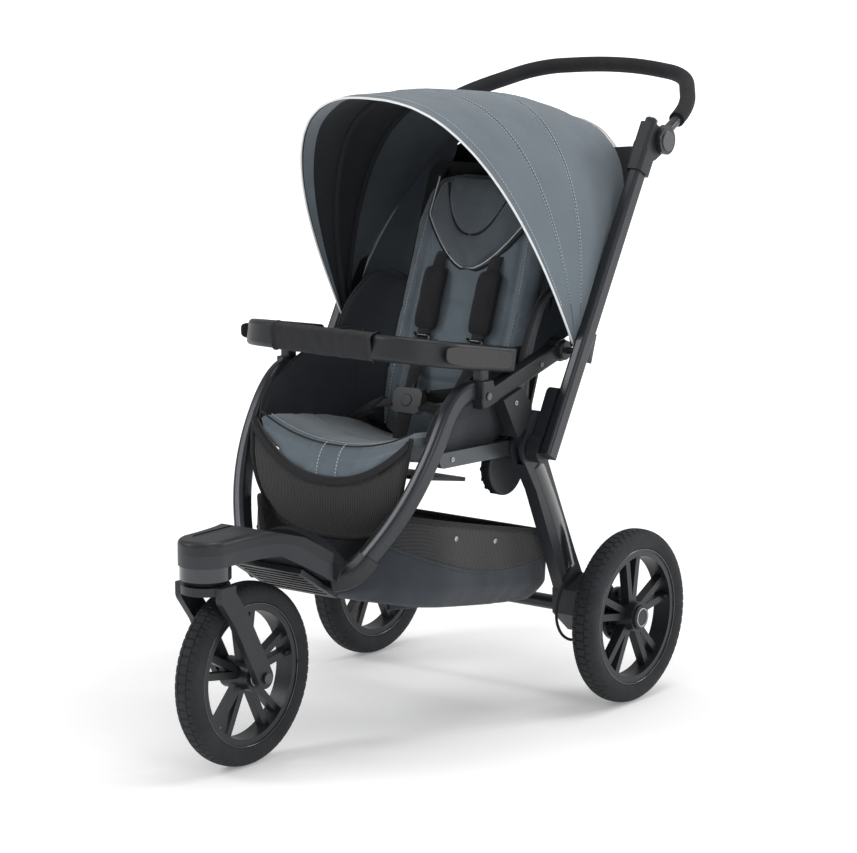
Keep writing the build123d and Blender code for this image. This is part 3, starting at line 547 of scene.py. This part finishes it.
def arch_turns(first=0.0, last=180.0):
    """Turns spread evenly along the arch."""
    return [first + (last - first) * (i / ARCH_STEPS) for i in range(ARCH_STEPS + 1)]


def bend_with(piece):
    """Bakes a canopy piece's placement into its mesh, leaving it on no body."""
    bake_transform(piece)


def cloth_area(piece):
    return sum(p.area for p in piece.data.polygons)


def canopy_panel(name, first, last, material, inset=0.0):
    steps = max(6, int((last - first) / 1.4))
    rows = [[canopy_point(first + (last - first) * i / steps, turn, inset) for turn in arch_turns()]
            for i in range(steps + 1)]
    piece = surface(name, rows, material, "slate_fabric")
    long = sum((b - a).length for a, b in zip(rows[steps // 2], rows[steps // 2][1:]))
    bend_with(piece)
    return piece


REAR_LINING = cloth("rear lining", (0.060, 0.074, 0.088), 0.0009, 0.15, 0.15)
panels = [
    canopy_panel("canopy_cloth_front", FRONT_EDGE, FRONT_SEAM, CANOPY_CLOTH),
    canopy_panel("canopy_cloth_middle", FRONT_SEAM, REAR_SEAM, CANOPY_CLOTH),
    canopy_panel("canopy_cloth_rear", REAR_SEAM, REAR_EDGE, CANOPY_CLOTH),
    canopy_panel("canopy_lining_front", FRONT_EDGE, FRONT_SEAM, LINING, 3.0),
    canopy_panel("canopy_lining_middle", FRONT_SEAM, REAR_SEAM, LINING, 3.0),
    canopy_panel("canopy_lining_rear", REAR_SEAM, REAR_EDGE, REAR_LINING, 3.0),
]
for panel, node in zip(panels, ("canopy_front", "canopy_bow_front", "canopy_bow_rear")):
    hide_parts(node)
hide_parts("canopy_rear")

front_rim = [canopy_point(FRONT_EDGE - 0.2, turn, 1.0) for turn in arch_turns()]
bend_with(tube("canopy_front_piping", front_rim, 0.0019, PIPING))
front_hem = [[canopy_point(FRONT_EDGE + 0.1 + 0.9 * k, turn, 4.2) for turn in arch_turns()] for k in range(6)]
bend_with(surface("canopy_front_hem", front_hem, SEAT_CLOTH, "slate_fabric"))
for side_name, inset in (("outer", -0.6), ("inner", 3.6)):
    hem_line = [canopy_point(FRONT_EDGE + 2.2, turn, inset) for turn in arch_turns(6, 174)]
    bend_with(stitches(f"canopy_hem_stitches_{side_name}", hem_line))
rear_rim = [canopy_point(REAR_EDGE + 0.25, turn, -2.4) for turn in arch_turns()]
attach(tube("canopy_rear_piping", rear_rim, 0.0018, PIPING), "push_frame")

for seam_angle, body in ((FRONT_SEAM, "canopy_bow_front"), (REAR_SEAM, "canopy_bow_rear")):
    line = [canopy_point(seam_angle, turn, -0.3) for turn in arch_turns()]
    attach(tube(f"canopy_seam_{int(seam_angle)}", line, 0.0013, CANOPY_CLOTH, 6), body)
    inner = [canopy_point(seam_angle, turn, 7.0) for turn in arch_turns()]
    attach(tube(f"canopy_bow_sleeve_{int(seam_angle)}", inner, 0.0052, LINING), body)
    for offset in (-0.55, 0.55):
        line = [canopy_point(seam_angle + offset, turn, -0.4) for turn in arch_turns(6, 174)]
        side = "before" if offset < 0 else "after"
        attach(stitches(f"canopy_stitches_{int(seam_angle)}_{side}", line), body)

closure_rows = []
for k in range(13):
    share = k / 12
    row = []
    for turn in arch_turns(14, 166):
        edge = canopy_point(REAR_EDGE + 0.4, turn, 3.0)
        level = CANOPY + Vector((0, 0.6 * 0.235, 0.8 * 0.235))
        inner = Vector((edge.x * 0.94, level.y, level.z))
        sag = Vector((0, 0.016 * sin(pi * share), 0))
        row.append(edge.lerp(inner, share) + sag)
    closure_rows.append(row)
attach(surface("canopy_rear_closure", closure_rows, BLACK_CLOTH, "black_fabric"), "push_frame")
for name, side in SIDES:
    gusset_rows = []
    for k in range(13):
        edge = canopy_point(REAR_EDGE, 14 + 44 * k / 12 if side > 0 else 166 - 44 * k / 12, 2.0)
        up = 790 + 172 * k / 12
        along_tube = at(side * 250, KNEE_BACK + (up - KNEE_UP) / tan(radians(60)) + 16, up)
        gusset_rows.append([edge.lerp(along_tube, j / 8) + Vector((0, 0.010 * sin(pi * j / 8), 0))
                            for j in range(9)])
    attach(surface(f"canopy_gusset_{name}", gusset_rows, BLACK_CLOTH, "black_fabric"), "push_frame")
    clip = at(side * 262, -112, 612)
    tab = [clip + Vector((side * 0.006, 0.004 * k, 0.012 * k)) for k in range(5)]
    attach(strap(f"canopy_clip_{name}", tab, 0.020, 0.006, PLASTIC, Vector((side, 0, 0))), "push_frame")


# ---- Seat back ----------------------------------------------------------------------------
BACK_ANGLE = 70.0
knee_plane = Face(at(0, KNEE_BACK, KNEE_UP), BACK_ANGLE)
BACK_OFFSET = -34.0          # the pad's face stands this far behind the knee axis
back_plane = Face(knee_plane.place(0, 0, BACK_OFFSET), BACK_ANGLE)
back_face = Face(back_plane.place(0, 0, -16), BACK_ANGLE)


def back_half_width(y):
    return 146 - 10 * (1 - min(1.0, max(0.0, (y + 20) / 120))) - 16 * max(0.0, (y - 380) / 100)


back_pad = closed_pad("back_pad", back_face, back_half_width, -18, 478, 20, SEAT_CLOTH,
                      -12, 64)
swell(back_pad, 0.006, 0.005)
press(back_pad, back_face, lambda x, y: (
    groove(abs(x) - 96 - 8 * sin(y / 130), 12, 7) + groove(y - 96 - x * x / 900, 10, 4.5)
    + groove(y - 236 + x * x / 1400, 8, 3.0) - 5 * max(0.0, min(1.0, (abs(x) - 100) / 24))
    - wrinkle(x, y, 0.022, 1.8, 4.0)
    - 2.0 * noise.noise(Vector((x * 0.012, y * 0.055, 2.0))) * min(1.0, abs(x) / 70)))
refine(back_pad)
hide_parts("back_cushion")
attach(back_pad, "seat_back")
for name, side in SIDES:
    line = [back_plane.place(side * (96 + 8 * sin(y / 130) + 13), y, 8.3) for y in range(10, 440, 6)]
    stitches(f"back_stitches_{name}", line, "seat_back")

head_plane = Face(back_plane.place(0, 380, 3), BACK_ANGLE)
HEAD_TIP, HEAD_SHOULDER, HEAD_TOP, HEAD_HALF = -86.0, 6.0, 78.0, 108.0


def head_half_width(y):
    """A blunt V below, straight sides above."""
    rise = max(0.0, min(1.0, (y - HEAD_TIP) / (HEAD_SHOULDER - HEAD_TIP)))
    return 8 + (HEAD_HALF - 8) * rise ** 0.62 - 6 * max(0.0, y / HEAD_TOP)


head = closed_pad("head_rest", head_plane, head_half_width, HEAD_TIP, HEAD_TOP, 20, HEAD_CLOTH,
                  -4, 52)
swell(head, 0.005, 0.004)


def head_arch(x):
    """The seam between the plain top of the head rest and its lower part."""
    return -26 + 84 * (abs(x) / 68) ** 2.4


press(head, head_plane, lambda x, y: (
    groove(y - head_arch(x), 9, 4.0) * (abs(x) < 72) + groove(abs(x) - head_half_width(y) + 11, 5, 1.6)
    - wrinkle(x, y, 0.04, 1.1, 7.0)))
refine(head)
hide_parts("head_pad")
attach(head, "seat_back")


def head_line(trim, lift):
    """The V-shaped rim of the head rest, drawn in by trim and lifted off its face."""
    heights = [HEAD_TOP - 4 - (HEAD_TOP - HEAD_TIP - 6) * (k / 30) ** 1.3 for k in range(31)]
    left = [head_plane.place(-head_half_width(y) + trim, y + trim * 0.5, lift) for y in heights]
    right = [head_plane.place(head_half_width(y) - trim, y + trim * 0.5, lift) for y in heights[::-1]]
    return [*left, *right]


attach(tube("head_rest_piping", head_line(0, 6.5), 0.0026, BLACK_PIPING, 8, ACROSS),
        "seat_back")
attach(tube("head_rest_edge", head_line(4.5, 11.5), 0.0012, THREAD, 6, ACROSS),
        "seat_back")
arch_line = [head_plane.place(x, head_arch(x), 24 - 4.5 * (x / 70) ** 2) for x in range(-70, 71, 5)]
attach(tube("head_rest_arch", arch_line, 0.0022, BLACK_PIPING, 6, ACROSS), "seat_back")
crown = [[head_plane.place(x, y, 20.6 - 8 * (x / 100) ** 2 - 9 * (max(0, y - 56) / 22) ** 2)
          for x in range(-64, 65, 8)] for y in range(58, 78, 3)]
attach(surface("head_rest_crown", crown, HEAD_CLOTH, "dark_fabric"), "seat_back")

# ---- Harness ------------------------------------------------------------------------------
BUCKLE = at(0, -258, 538)
SHOULDER_X = 58
HIP_FACE = Vector((0, -0.5, 1))            # the way the hip straps' faces look


def harness(name, points, out, first, second=None, width=0.025):
    """Webbing on one body; given a second body of the folding frame, it is baked in place on no body."""
    piece = strap(name, smooth_line(points, 10), width, 0.0022, WEBBING, out)
    if second:
        points[0].lerp(points[-1], 0.1)
        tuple(points[-1])
        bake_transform(piece)
    else:
        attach(piece, first)
    return piece


for name, side in SIDES:
    x = side * SHOULDER_X
    pad_face = Face(back_plane.place(x, 238, 20), BACK_ANGLE)
    pad = closed_pad(f"shoulder_pad_{name}", pad_face, lambda y: 24, -58, 58, 10, BLACK_CLOTH,
                     -9, 28, square=6)
    swell(pad, 0.004, 0.0035)
    press(pad, pad_face, lambda px, py: groove(abs(px) - 16, 4, 1.2) - wrinkle(px, py, 0.05, 0.8, side))
    refine(pad)
    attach(pad, "seat_back")
    if side > 0:
        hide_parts("shoulder_pads")
    slot_top = back_plane.place(x, 332, 0)
    over = [slot_top, back_plane.place(x, 312, 15), back_plane.place(x, 250, 20),
            back_plane.place(x, 176, 21), back_plane.place(x * 0.98, 120, 22)]
    harness(f"shoulder_strap_{name}", over, back_plane.out, "seat_back")
    meet = back_plane.place(x * 0.86, 74, 34)
    lower = [over[-1], back_plane.place(x * 0.94, 98, 28), meet]
    harness(f"shoulder_strap_lower_{name}", lower, back_plane.out, "seat_back", "push_frame")
    to_buckle = [meet, meet.lerp(BUCKLE, 0.5) + back_plane.out * 0.006,
                 BUCKLE + Vector((side * 0.021, 0.004, 0.017))]
    harness(f"shoulder_strap_end_{name}", to_buckle, back_plane.out, "push_frame", "frame")
    for step in range(3):
        bar = [back_plane.place(x * 0.98 + dx, 148 + 11 * step, 25) for dx in (-16, -8, 0, 8, 16)]
        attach(tube(f"strap_adjuster_{name}_{step}", bar, 0.0026, PLASTIC_GLOSS, 8),
                "seat_back")
    for dx in (-16, 16):
        rail = [back_plane.place(x * 0.98 + dx, 146 + 7 * k, 25) for k in range(5)]
        rail_side = "in" if dx * side < 0 else "out"
        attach(tube(f"strap_adjuster_{name}_{rail_side}", rail, 0.0026, PLASTIC_GLOSS, 8,
                     ACROSS), "seat_back")
    hip = [at(side * 138, -226, 496), at(side * 112, -240, 508), at(side * 66, -256, 526),
           at(side * 28, -262, 536)]
    harness(f"hip_strap_{name}", hip, HIP_FACE, "frame")
    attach(strap(f"hip_pad_{name}", smooth_line(hip[:3], 8), 0.040, 0.011, BLACK_CLOTH, HIP_FACE), "frame")
crotch = [at(0, -268, 524), at(0, -276, 505), at(0, -284, 484), at(0, -286, 468)]
harness("crotch_strap", crotch, Vector((0, -1, 0.3)), "frame", width=0.030)

# ---- Seat pad -----------------------------------------------------------------------------
SEAT_BACK_EDGE, SEAT_LIP = -194, -452
LIP_SHARE = 0.76             # share of the pad's length that is sitting surface; the rest overhangs
SEAT_HALF = 170


def seat_rise(x):
    return min(1.1, abs(x) / SEAT_HALF)


def seat_top(x, back):
    """Height of the sitting surface: low where it meets the back, rising to the lip and to both sides."""
    t = (SEAT_BACK_EDGE - back) / (SEAT_BACK_EDGE - SEAT_LIP)
    return 450 + 42 * t ** 0.8 + 42 * seat_rise(x) ** 2.2


def seat_hem(x):
    """Height of the lower edge of the front overhang: a deep smile."""
    return 420 + 106 * seat_rise(x) ** 2.3


def seat_point(x, share, drop=0.0):
    """share runs from 0 at the seat's back to 1 at the hem of the overhang; drop goes into the pad."""
    if share <= LIP_SHARE:
        back = SEAT_BACK_EDGE + (SEAT_LIP - SEAT_BACK_EDGE) * share / LIP_SHARE
        return at(x, back, seat_top(x, back) - drop)
    turn = pi / 2 * (share - LIP_SHARE) / (1 - LIP_SHARE)
    reach = 34 - 14 * seat_rise(x) ** 2
    fall = seat_top(x, SEAT_LIP) - seat_hem(x)
    return at(x, SEAT_LIP - (reach - drop * 0.8) * sin(turn),
              seat_hem(x) + (fall - drop * cos(turn)) * cos(turn) ** 0.8)


rings = []
SEAT_RINGS = 52
for i in range(SEAT_RINGS + 1):
    t = i / SEAT_RINGS
    half = 152 + 18 * min(1.0, t / LIP_SHARE) - 8 * max(0.0, t - 0.9) / 0.1
    swollen = 26 * max(0.06, (1 - (2 * t - 1) ** 8)) ** 0.5 * (1 - 0.4 * t)
    ring = [seat_point(half * u / 16, t) for u in range(-16, 17)]
    ring += [seat_point(half * 0.97 * -u / 16, t, swollen) for u in range(-16, 17)]
    rings.append(ring)
seat_pad = lofted("seat_pad", rings, SEAT_CLOTH)
swell(seat_pad, 0.007, 0.0055)


def seat_groove(p):
    """Depth of the sewn lines on the sitting surface and along the lip."""
    x, back = p.x / MM, (p.y - AXLE_Y) / MM
    bow = 1 - (x / SEAT_HALF) ** 2
    lip = groove(back - SEAT_LIP + 6 + 10 * bow, 7, 4.5)
    cross = groove(back + 330 + 26 * bow, 8, 3.5) + 0.6 * groove(abs(x) - 52, 6, 3)
    return lip + cross - wrinkle(x, back, 0.024, 2.2, 9) - wrinkle(x, back, 0.07, 0.8, 5)


for v in seat_pad.data.vertices:
    if v.normal.z > 0.15:
        v.co.z -= seat_groove(v.co) * MM
refine(seat_pad)
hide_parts("seat_cushion")
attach(seat_pad, "frame")
lip_seam = [seat_point(x, LIP_SHARE + 0.035, -2.4) for x in range(-162, 163, 6)]
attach(tube("seat_lip_seam", lip_seam, 0.0016, BLACK_PIPING, 6), "frame")
lip_line = [seat_point(x, LIP_SHARE - 0.02, -4.0) for x in range(-150, 151, 6)]
stitches("seat_stitches", lip_line, "frame")
for number, x in enumerate((-20, 20)):
    line = [seat_point(x, LIP_SHARE + 0.02 + 0.20 * k / 10, -4.2) for k in range(11)]
    stitches(f"overhang_stitches_{number}", line, "frame", radius=0.0009)
lip = [seat_point(x, 1.0, -2) for x in range(-166, 167, 6)]
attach(tube("seat_hem_piping", lip, 0.0046, BLACK_PIPING), "frame")

flap_rows = []
for i in range(19):
    t = i / 18
    row = []
    for j in range(37):
        u = -1 + j / 18
        half = 166 - 34 * t ** 2.2
        top = seat_point(half * u, 0.955, 3)
        bottom = at(half * u * 0.98, -482 + 6 * u * u, 344 + 30 * abs(u) ** 3)
        ease = Vector((0, -0.008 * (1 - u * u) - 0.010 * sin(pi * min(1.0, t * 1.1)), 0))
        row.append(top.lerp(bottom, t) + ease)
    flap_rows.append(row)
flap = surface("calf_mesh", flap_rows, RIBS, "black_fabric")
thicken(flap, 0.005, 1.0)
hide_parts("calf_flap")
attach(flap, "frame")
flap_edge = [flap_rows[0][0], *[row[0] for row in flap_rows[4::4]], *flap_rows[-1][2:-2:3],
             *[row[-1] for row in flap_rows[-3:3:-4]], flap_rows[0][-1]]
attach(tube("calf_mesh_piping", smooth_line(flap_edge, 5), 0.0044, BLACK_PIPING, 8,
             Vector((0, 1, 0))), "frame")
band_rows = [[p + Vector((0, -0.0065, -0.001)) for p in row] for row in flap_rows[:3]]
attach(surface("calf_top_band", band_rows, BLACK_CLOTH, "black_fabric"), "frame")

# ---- Side wings ---------------------------------------------------------------------------
for name, side in SIDES:
    front_line = smooth_line([at(side * 176, -446, 512), at(side * 181, -424, 556), at(side * 184, -372, 590),
                              at(side * 184, -300, 618), at(side * 182, -236, 640),
                              at(side * 178, -160, 636)], 6)
    back_line = smooth_line([at(side * 170, -440, 500), at(side * 168, -380, 488), at(side * 164, -320, 478),
                             at(side * 158, -262, 458), at(side * 148, -214, 438),
                             at(side * 142, -150, 424)], 6)
    rows = []
    for f, b in zip(front_line, back_line):
        rows.append([b.lerp(f, k / 10) + Vector((side * 0.010 * sin(pi * k / 10), 0, 0)) for k in range(11)])
    panel = surface(f"side_panel_{name}", rows, DARK_CLOTH, "dark_fabric")
    area = cloth_area(panel)
    thicken(panel, 0.004)
    drape_noise(panel, 0.0016, 22)
    if side > 0:
        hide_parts("side_panels")
    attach(panel, "frame")
    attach(tube(f"side_panel_piping_{name}", front_line, 0.0032, BLACK_PIPING, 8), "frame")

    wing_rows = []
    for i in range(25):
        t = i / 24
        s = 10 + 262 * t
        inner = back_plane.place(side * (back_half_width(s) - 16), s, -17)
        forward = 96 * (1 - t ** 5) ** 0.5 * (0.82 + 0.18 * sin(pi * t)) - 14
        outer = back_plane.place(side * (182 + 16 * sin(pi * t)), s + 14, forward)
        wing_rows.append([inner.lerp(outer, k / 12) - back_plane.out * 0.010 * sin(pi * k / 12)
                          + Vector((side * 0.008 * sin(pi * k / 12), 0, 0)) for k in range(13)])
    wing = surface(f"back_wing_{name}", wing_rows, DARK_CLOTH, "dark_fabric")
    area = cloth_area(wing)
    thicken(wing, 0.005)
    drape_noise(wing, 0.0026, 18)
    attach(wing, "seat_back")
    wing_rim = [row[-1] for row in wing_rows]
    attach(tube(f"back_wing_piping_{name}", wing_rim, 0.0032, BLACK_PIPING, 8, ACROSS),
            "seat_back")

    upper_rows = []
    for i in range(21):
        s = 150 + 322 * i / 20
        inner = back_plane.place(side * (back_half_width(s) - 16), s, -17)
        turn = 3 + 53 * i / 20
        outer = canopy_point(REAR_EDGE - 3, turn if side > 0 else 180 - turn, 5.0)
        upper_rows.append([inner.lerp(outer, k / 12) + Vector((0, 0.016 * sin(pi * k / 12), 0))
                           for k in range(13)])
    upper = surface(f"upper_side_{name}", upper_rows, REAR_LINING, "slate_fabric")
    area = cloth_area(upper)
    drape_noise(upper, 0.003, 20)
    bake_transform(upper)

# ---- Basket -------------------------------------------------------------------------------
HALF_PLAN = [(0, -540), (62, -538), (100, -526), (128, -504), (154, -474), (176, -436), (186, -396),
             (187, -330), (187, -260), (187, -190), (184, -130), (172, -106), (140, -101), (70, -100),
             (0, -100)]
plan = [*HALF_PLAN, *[(-x, y) for x, y in HALF_PLAN[-2:0:-1]]]
plan = smooth_line([Vector((x, y, 0)) for x, y in plan], 6, closed=True)


def basket_rim(back):
    return between(back, [(-540, 300), (-516, 352), (-494, 392), (-470, 388), (-300, 348), (-100, 304)])


def basket_floor(back):
    return between(back, [(-540, 254), (-440, 233), (-250, 206), (-100, 188)])


def basket_point(p, level, draw=0.0):
    """level runs from 0 at the rim to 1 at the bottom edge; draw pulls the point to the middle line."""
    top, low = basket_rim(p.y), basket_floor(p.y)
    height = top + (low - top) * level
    tuck = 1 - 0.13 * max(0.0, level - 0.72) ** 1.5 / 0.15 + 0.02 * sin(pi * level)
    folds = noise.noise(Vector((p.x * 0.022, p.y * 0.022, level * 1.2)))
    creases = noise.noise(Vector((p.x * 0.05 + level * 3, p.y * 0.05 - level * 2, level * 3)))
    crease = (4.5 * folds + 2.2 * creases) * level
    x = (p.x * tuck + crease * (1 if p.x > 0 else -1)) * (1 - draw)
    y = -320 + (p.y + 320) * (1 - (1 - tuck) * 0.5) * (1 - draw)
    return at(x, y, height - 5 * draw)


def net_depth(back):
    """How far down the netting reaches, in long scallops along the side."""
    return 0.30 + 0.26 * abs(sin(pi * (back + 500) / 400)) ** 0.8


cloth_rows = [[basket_point(p, net_depth(p.y) + (1 - net_depth(p.y)) * k / 14) for p in plan]
              for k in range(15)]
cloth_rows += [[basket_point(p, 1, k / 8 * 0.985) for p in plan] for k in range(1, 9)]
bag = surface("basket_bag", cloth_rows, BASKET_CLOTH, "dark_fabric", loop_columns=True)
net_rows = [[basket_point(p, net_depth(p.y) * k / 8) for p in plan] for k in range(9)]
net = surface("basket_net", net_rows, NET, "black_fabric", loop_columns=True)
bag_area, net_area = cloth_area(bag), cloth_area(net)
for cloth_piece in (bag, net):
    thicken(cloth_piece, 0.0018)
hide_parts("basket")
for cloth_piece, area, flat in ((bag, bag_area, (0.62, 0.68)), (net, net_area, (1.34, 0.12))):
    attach(cloth_piece, "frame")
rim_line = [p + UPWARD * MM for p in net_rows[0]]
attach(tube("basket_rim_piping", [*rim_line, rim_line[0]], 0.0044, BLACK_PIPING, 8), "frame")
band_line = [p + Vector((0.001 if p.x > 0 else -0.001, 0, 0)) for p in cloth_rows[0]]
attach(tube("basket_net_piping", [*band_line, band_line[0]], 0.0024, BASKET_CLOTH, 6),
        "frame")

# ---- Armbar sleeve and patches ------------------------------------------------------------
low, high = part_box("armbar_sleeve")
middle = (low + high) / 2
ARM_SLOPE = radians(10.2)
sleeve_rings = []
for i in range(61):
    t = -1 + i / 30
    hem = 1.8 if abs(t) > 0.955 else 0.0
    ring = []
    for k in range(36):
        a = 2 * pi * k / 36
        c, sn = cos(a), sin(a)
        pucker = 0.9 * noise.noise(Vector((t * 7, c * 1.5, sn * 1.5)))
        depth = (13.5 + hem + pucker) * signed_power(c, 0.5)
        height = (22.6 + hem + pucker) * signed_power(sn, 0.5)
        turn = ARM_SLOPE
        y = depth * cos(turn) - height * sin(turn)
        z = depth * sin(turn) + height * cos(turn)
        ring.append(Vector((middle.x + t * 0.106, middle.y + y * MM, middle.z + z * MM)))
    sleeve_rings.append(ring)
sleeve = surface("armbar_cover", sleeve_rings, BLACK_CLOTH, "black_fabric", loop_columns=True)
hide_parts("armbar_sleeve")
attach(sleeve, "armbar")

ARM_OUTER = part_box("armbar_arms")[1].x


def slab(name, outline, out, thick, material):
    """Plate with a small bevel: a flat outline raised along out."""
    middle = sum(outline, Vector()) / len(outline)
    top = [p + out * thick + (middle - p).normalized() * thick * 0.6 for p in outline]
    edge = [p + out * thick * 0.6 for p in outline]
    piece = lofted(name, [outline, edge, top], material)
    piece.data.shade_flat()
    return piece


for name, side in SIDES:
    outline = []
    for k in range(32):
        a = 2 * pi * k / 32
        run = -352 - 92 * signed_power(cos(a), 0.35)
        rise = 14.5 * signed_power(sin(a), 0.5)
        up = 630 + (-256 - run) * tan(ARM_SLOPE) + rise
        outline.append(at(side * (ARM_OUTER / MM - 0.2), run, up))
    if side > 0:
        outline.reverse()
    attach(slab(f"armbar_inset_{name}", outline, ACROSS * side, 0.0014, RIBS), "armbar")

# ---- Tyres --------------------------------------------------------------------------------
TREAD_BLOCKS = 64
SAMPLES = 6


def tyre_profile():
    """(across, radius) pairs round the tyre's outside, from one bead to the other."""
    bead, shoulder = 119.0, 140.0
    points = [(-16, bead - 1), (-19.5, bead + 1.5), (-21.8, 127), (-22.8, 133), (-22.2, shoulder),
              (-20.6, 144.2), (-18.2, 147.2), (-15.2, 149.4), (-12.4, 150.7), (-9.2, 151.7), (-8.2, 151.9),
              (-7.2, 152.0), (-3.8, 152.35), (-0.8, 152.4)]
    return [*points, *[(-x, r) for x, r in reversed(points)]]


def tread_cut(x, step):
    """Depth of the tread pattern at a place across and round the tyre."""
    row = 0 if abs(x) < 7.5 else 1 if abs(x) < 15.8 else 2
    place = (step + (SAMPLES // 2 if row == 1 else 0)) % SAMPLES
    sipe = 1.9 if place == 0 and abs(x) < 21 else 0.0
    line = 1.9 if 7.6 < abs(x) < 8.8 else 0.0
    return max(sipe, line)


def tyre_piece(name, node, centre, body):
    profile = tyre_profile()
    rows = []
    count = TREAD_BLOCKS * SAMPLES
    for i in range(count):
        t = 2 * pi * i / count
        row = []
        for x, r in profile:
            depth = tread_cut(x, i) if r > 143 else 0.0
            ring = 0.7 if 131 < r < 134 else 0.0
            reach = r - depth - ring
            row.append(centre + Vector((x, reach * cos(t), reach * sin(t))) * MM)
        rows.append(row)
    piece = surface(name, rows, TYRE, "tyre", loop_rows=True, loop_columns=True)
    split = piece.modifiers.new("edges", "EDGE_SPLIT")
    split.split_angle = radians(32)
    apply_modifiers(piece)
    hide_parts(node)
    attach(piece, body)


def ring_of(name, centre, radius, thick, material, body, turns=72):
    points = [centre + Vector((0, radius * cos(2 * pi * k / turns), radius * sin(2 * pi * k / turns)))
              for k in range(turns + 1)]
    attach(tube(name, points, thick, material, 8, ACROSS), body)


WHEELS = {"front": ("front_wheel_spin", "front_wheel", "front_tyre", "front_rim"),
          "rear_left": ("rear_wheel_left_spin", "rear_wheel_left", "rear_tyre_left", "rear_rim_left"),
          "rear_right": ("rear_wheel_right_spin", "rear_wheel_right", "rear_tyre_right", "rear_rim_right")}
for wheel, (joint, body, tyre_node, rim_node) in WHEELS.items():
    centre = Vector(JOINT[joint]["pos_m"])
    tyre_piece(f"tyre_{wheel}", tyre_node, centre, body)
    low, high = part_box(rim_node)
    for side, edge in ((1, high.x), (-1, low.x)):
        side_name = "out" if side > 0 else "in"
        face = Vector((edge, centre.y, centre.z))
        ring_of(f"hub_ring_{wheel}_{side_name}", face + Vector((side * 0.0003, 0, 0)), 0.0155, 0.0011, STEEL,
                body)
        bead = Vector((centre.x + side * 0.0178, centre.y, centre.z))
        ring_of(f"bead_{wheel}_{side_name}", bead, 0.1182, 0.0016, PLASTIC_GLOSS, body, 120)
    stem = [centre + Vector((0.010, 0.106, 0.018)), centre + Vector((0.012, 0.093, 0.016))]
    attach(tube(f"valve_{wheel}", stem, 0.0030, TYRE, 10, ACROSS), body)

# ---- Plastic trims ------------------------------------------------------------------------
for name, side in SIDES:
    leg_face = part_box(f"rear_leg_{name}")[1].x if side > 0 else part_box(f"rear_leg_{name}")[0].x
    groove_line = smooth_line([at(leg_face / MM, -196, 446), at(leg_face / MM, -160, 384),
                               at(leg_face / MM, -126, 318), at(leg_face / MM, -98, 246)], 8)
    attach(strap(f"leg_inlay_{name}", groove_line, 0.026, 0.0012, PLASTIC_GLOSS, Vector((side, 0, 0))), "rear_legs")
    snaps = [basket_point(Vector((side * 187, back, 0)), 0.16) for back in (-380, -270)]
    for number, spot in enumerate(snaps):
        button = [spot + Vector((side * 0.0006, 0, 0)), spot + Vector((side * 0.0032, 0, 0))]
        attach(tube(f"basket_snap_{name}_{number}", button, 0.0048, STEEL, 16), "frame")

# ---- Floor, light and camera --------------------------------------------------------------
floor_finish = Nodes("pale floor", (0.93, 0.93, 0.93), 0.7)
floor_finish.rough(floor_finish.noise(3, 3), 0.62, 0.8)
floor_finish.put("Emission Color", (1, 1, 1, 1))
spread = floor_finish.new("VectorMath")
spread.operation = "LENGTH"
floor_finish.link(floor_finish.place, spread.inputs[0])
glow = floor_finish.new("MapRange")
for socket, value in (("From Min", 0.8), ("From Max", 5.0), ("To Min", 0.20), ("To Max", 0.9)):
    glow.inputs[socket].default_value = value
floor_finish.link(spread.outputs["Value"], glow.inputs["Value"])
floor_finish.link(glow.outputs["Result"], floor_finish.shader.inputs["Emission Strength"])
bpy.ops.mesh.primitive_plane_add(size=60)
floor = bpy.context.object
floor.name = "floor"
floor.data.materials.append(floor_finish.material)

world = bpy.data.worlds.new("studio")
bpy.context.scene.world = world
world.use_nodes = True
backdrop = world.node_tree.nodes["Background"]
backdrop.inputs["Color"].default_value = (1, 1, 1, 1)
backdrop.inputs["Strength"].default_value = 0.5


def softbox(name, place, target, size, power):
    lamp = bpy.data.lights.new(name, "AREA")
    lamp.shape = "DISK"
    lamp.size = size
    lamp.energy = power
    holder = bpy.data.objects.new(name, lamp)
    bpy.context.scene.collection.objects.link(holder)
    holder.location = place
    holder.rotation_euler = (Vector(target) - Vector(place)).to_track_quat("-Z", "Y").to_euler()


softbox("key", (-2.6, -3.2, 3.4), (0, 0, 0.5), 1.8, 62)
softbox("fill", (4.0, -2.0, 2.2), (0, 0, 0.5), 2.0, 34)
softbox("top", (0.4, 0.6, 4.2), (0, 0, 0.6), 2.4, 62)
softbox("rim", (2.6, 3.4, 2.4), (0, 0, 0.6), 1.4, 46)

CAMERA_AZIMUTH, CAMERA_ELEVATION = radians(36.94), radians(10.70)
lens = bpy.data.cameras.new("camera")
lens.lens = 140.0
lens.sensor_width = 36
lens.clip_end = 200
camera = bpy.data.objects.new("camera", lens)
bpy.context.scene.collection.objects.link(camera)
camera.location = at(3396.9, -4720.7, 1553.3)
ahead = Vector((-sin(CAMERA_AZIMUTH) * cos(CAMERA_ELEVATION), cos(CAMERA_AZIMUTH) * cos(CAMERA_ELEVATION),
                -sin(CAMERA_ELEVATION)))
camera.rotation_euler = ahead.to_track_quat("-Z", "Y").to_euler()
bpy.context.scene.camera = camera
bpy.context.scene.view_settings.view_transform = "Standard"
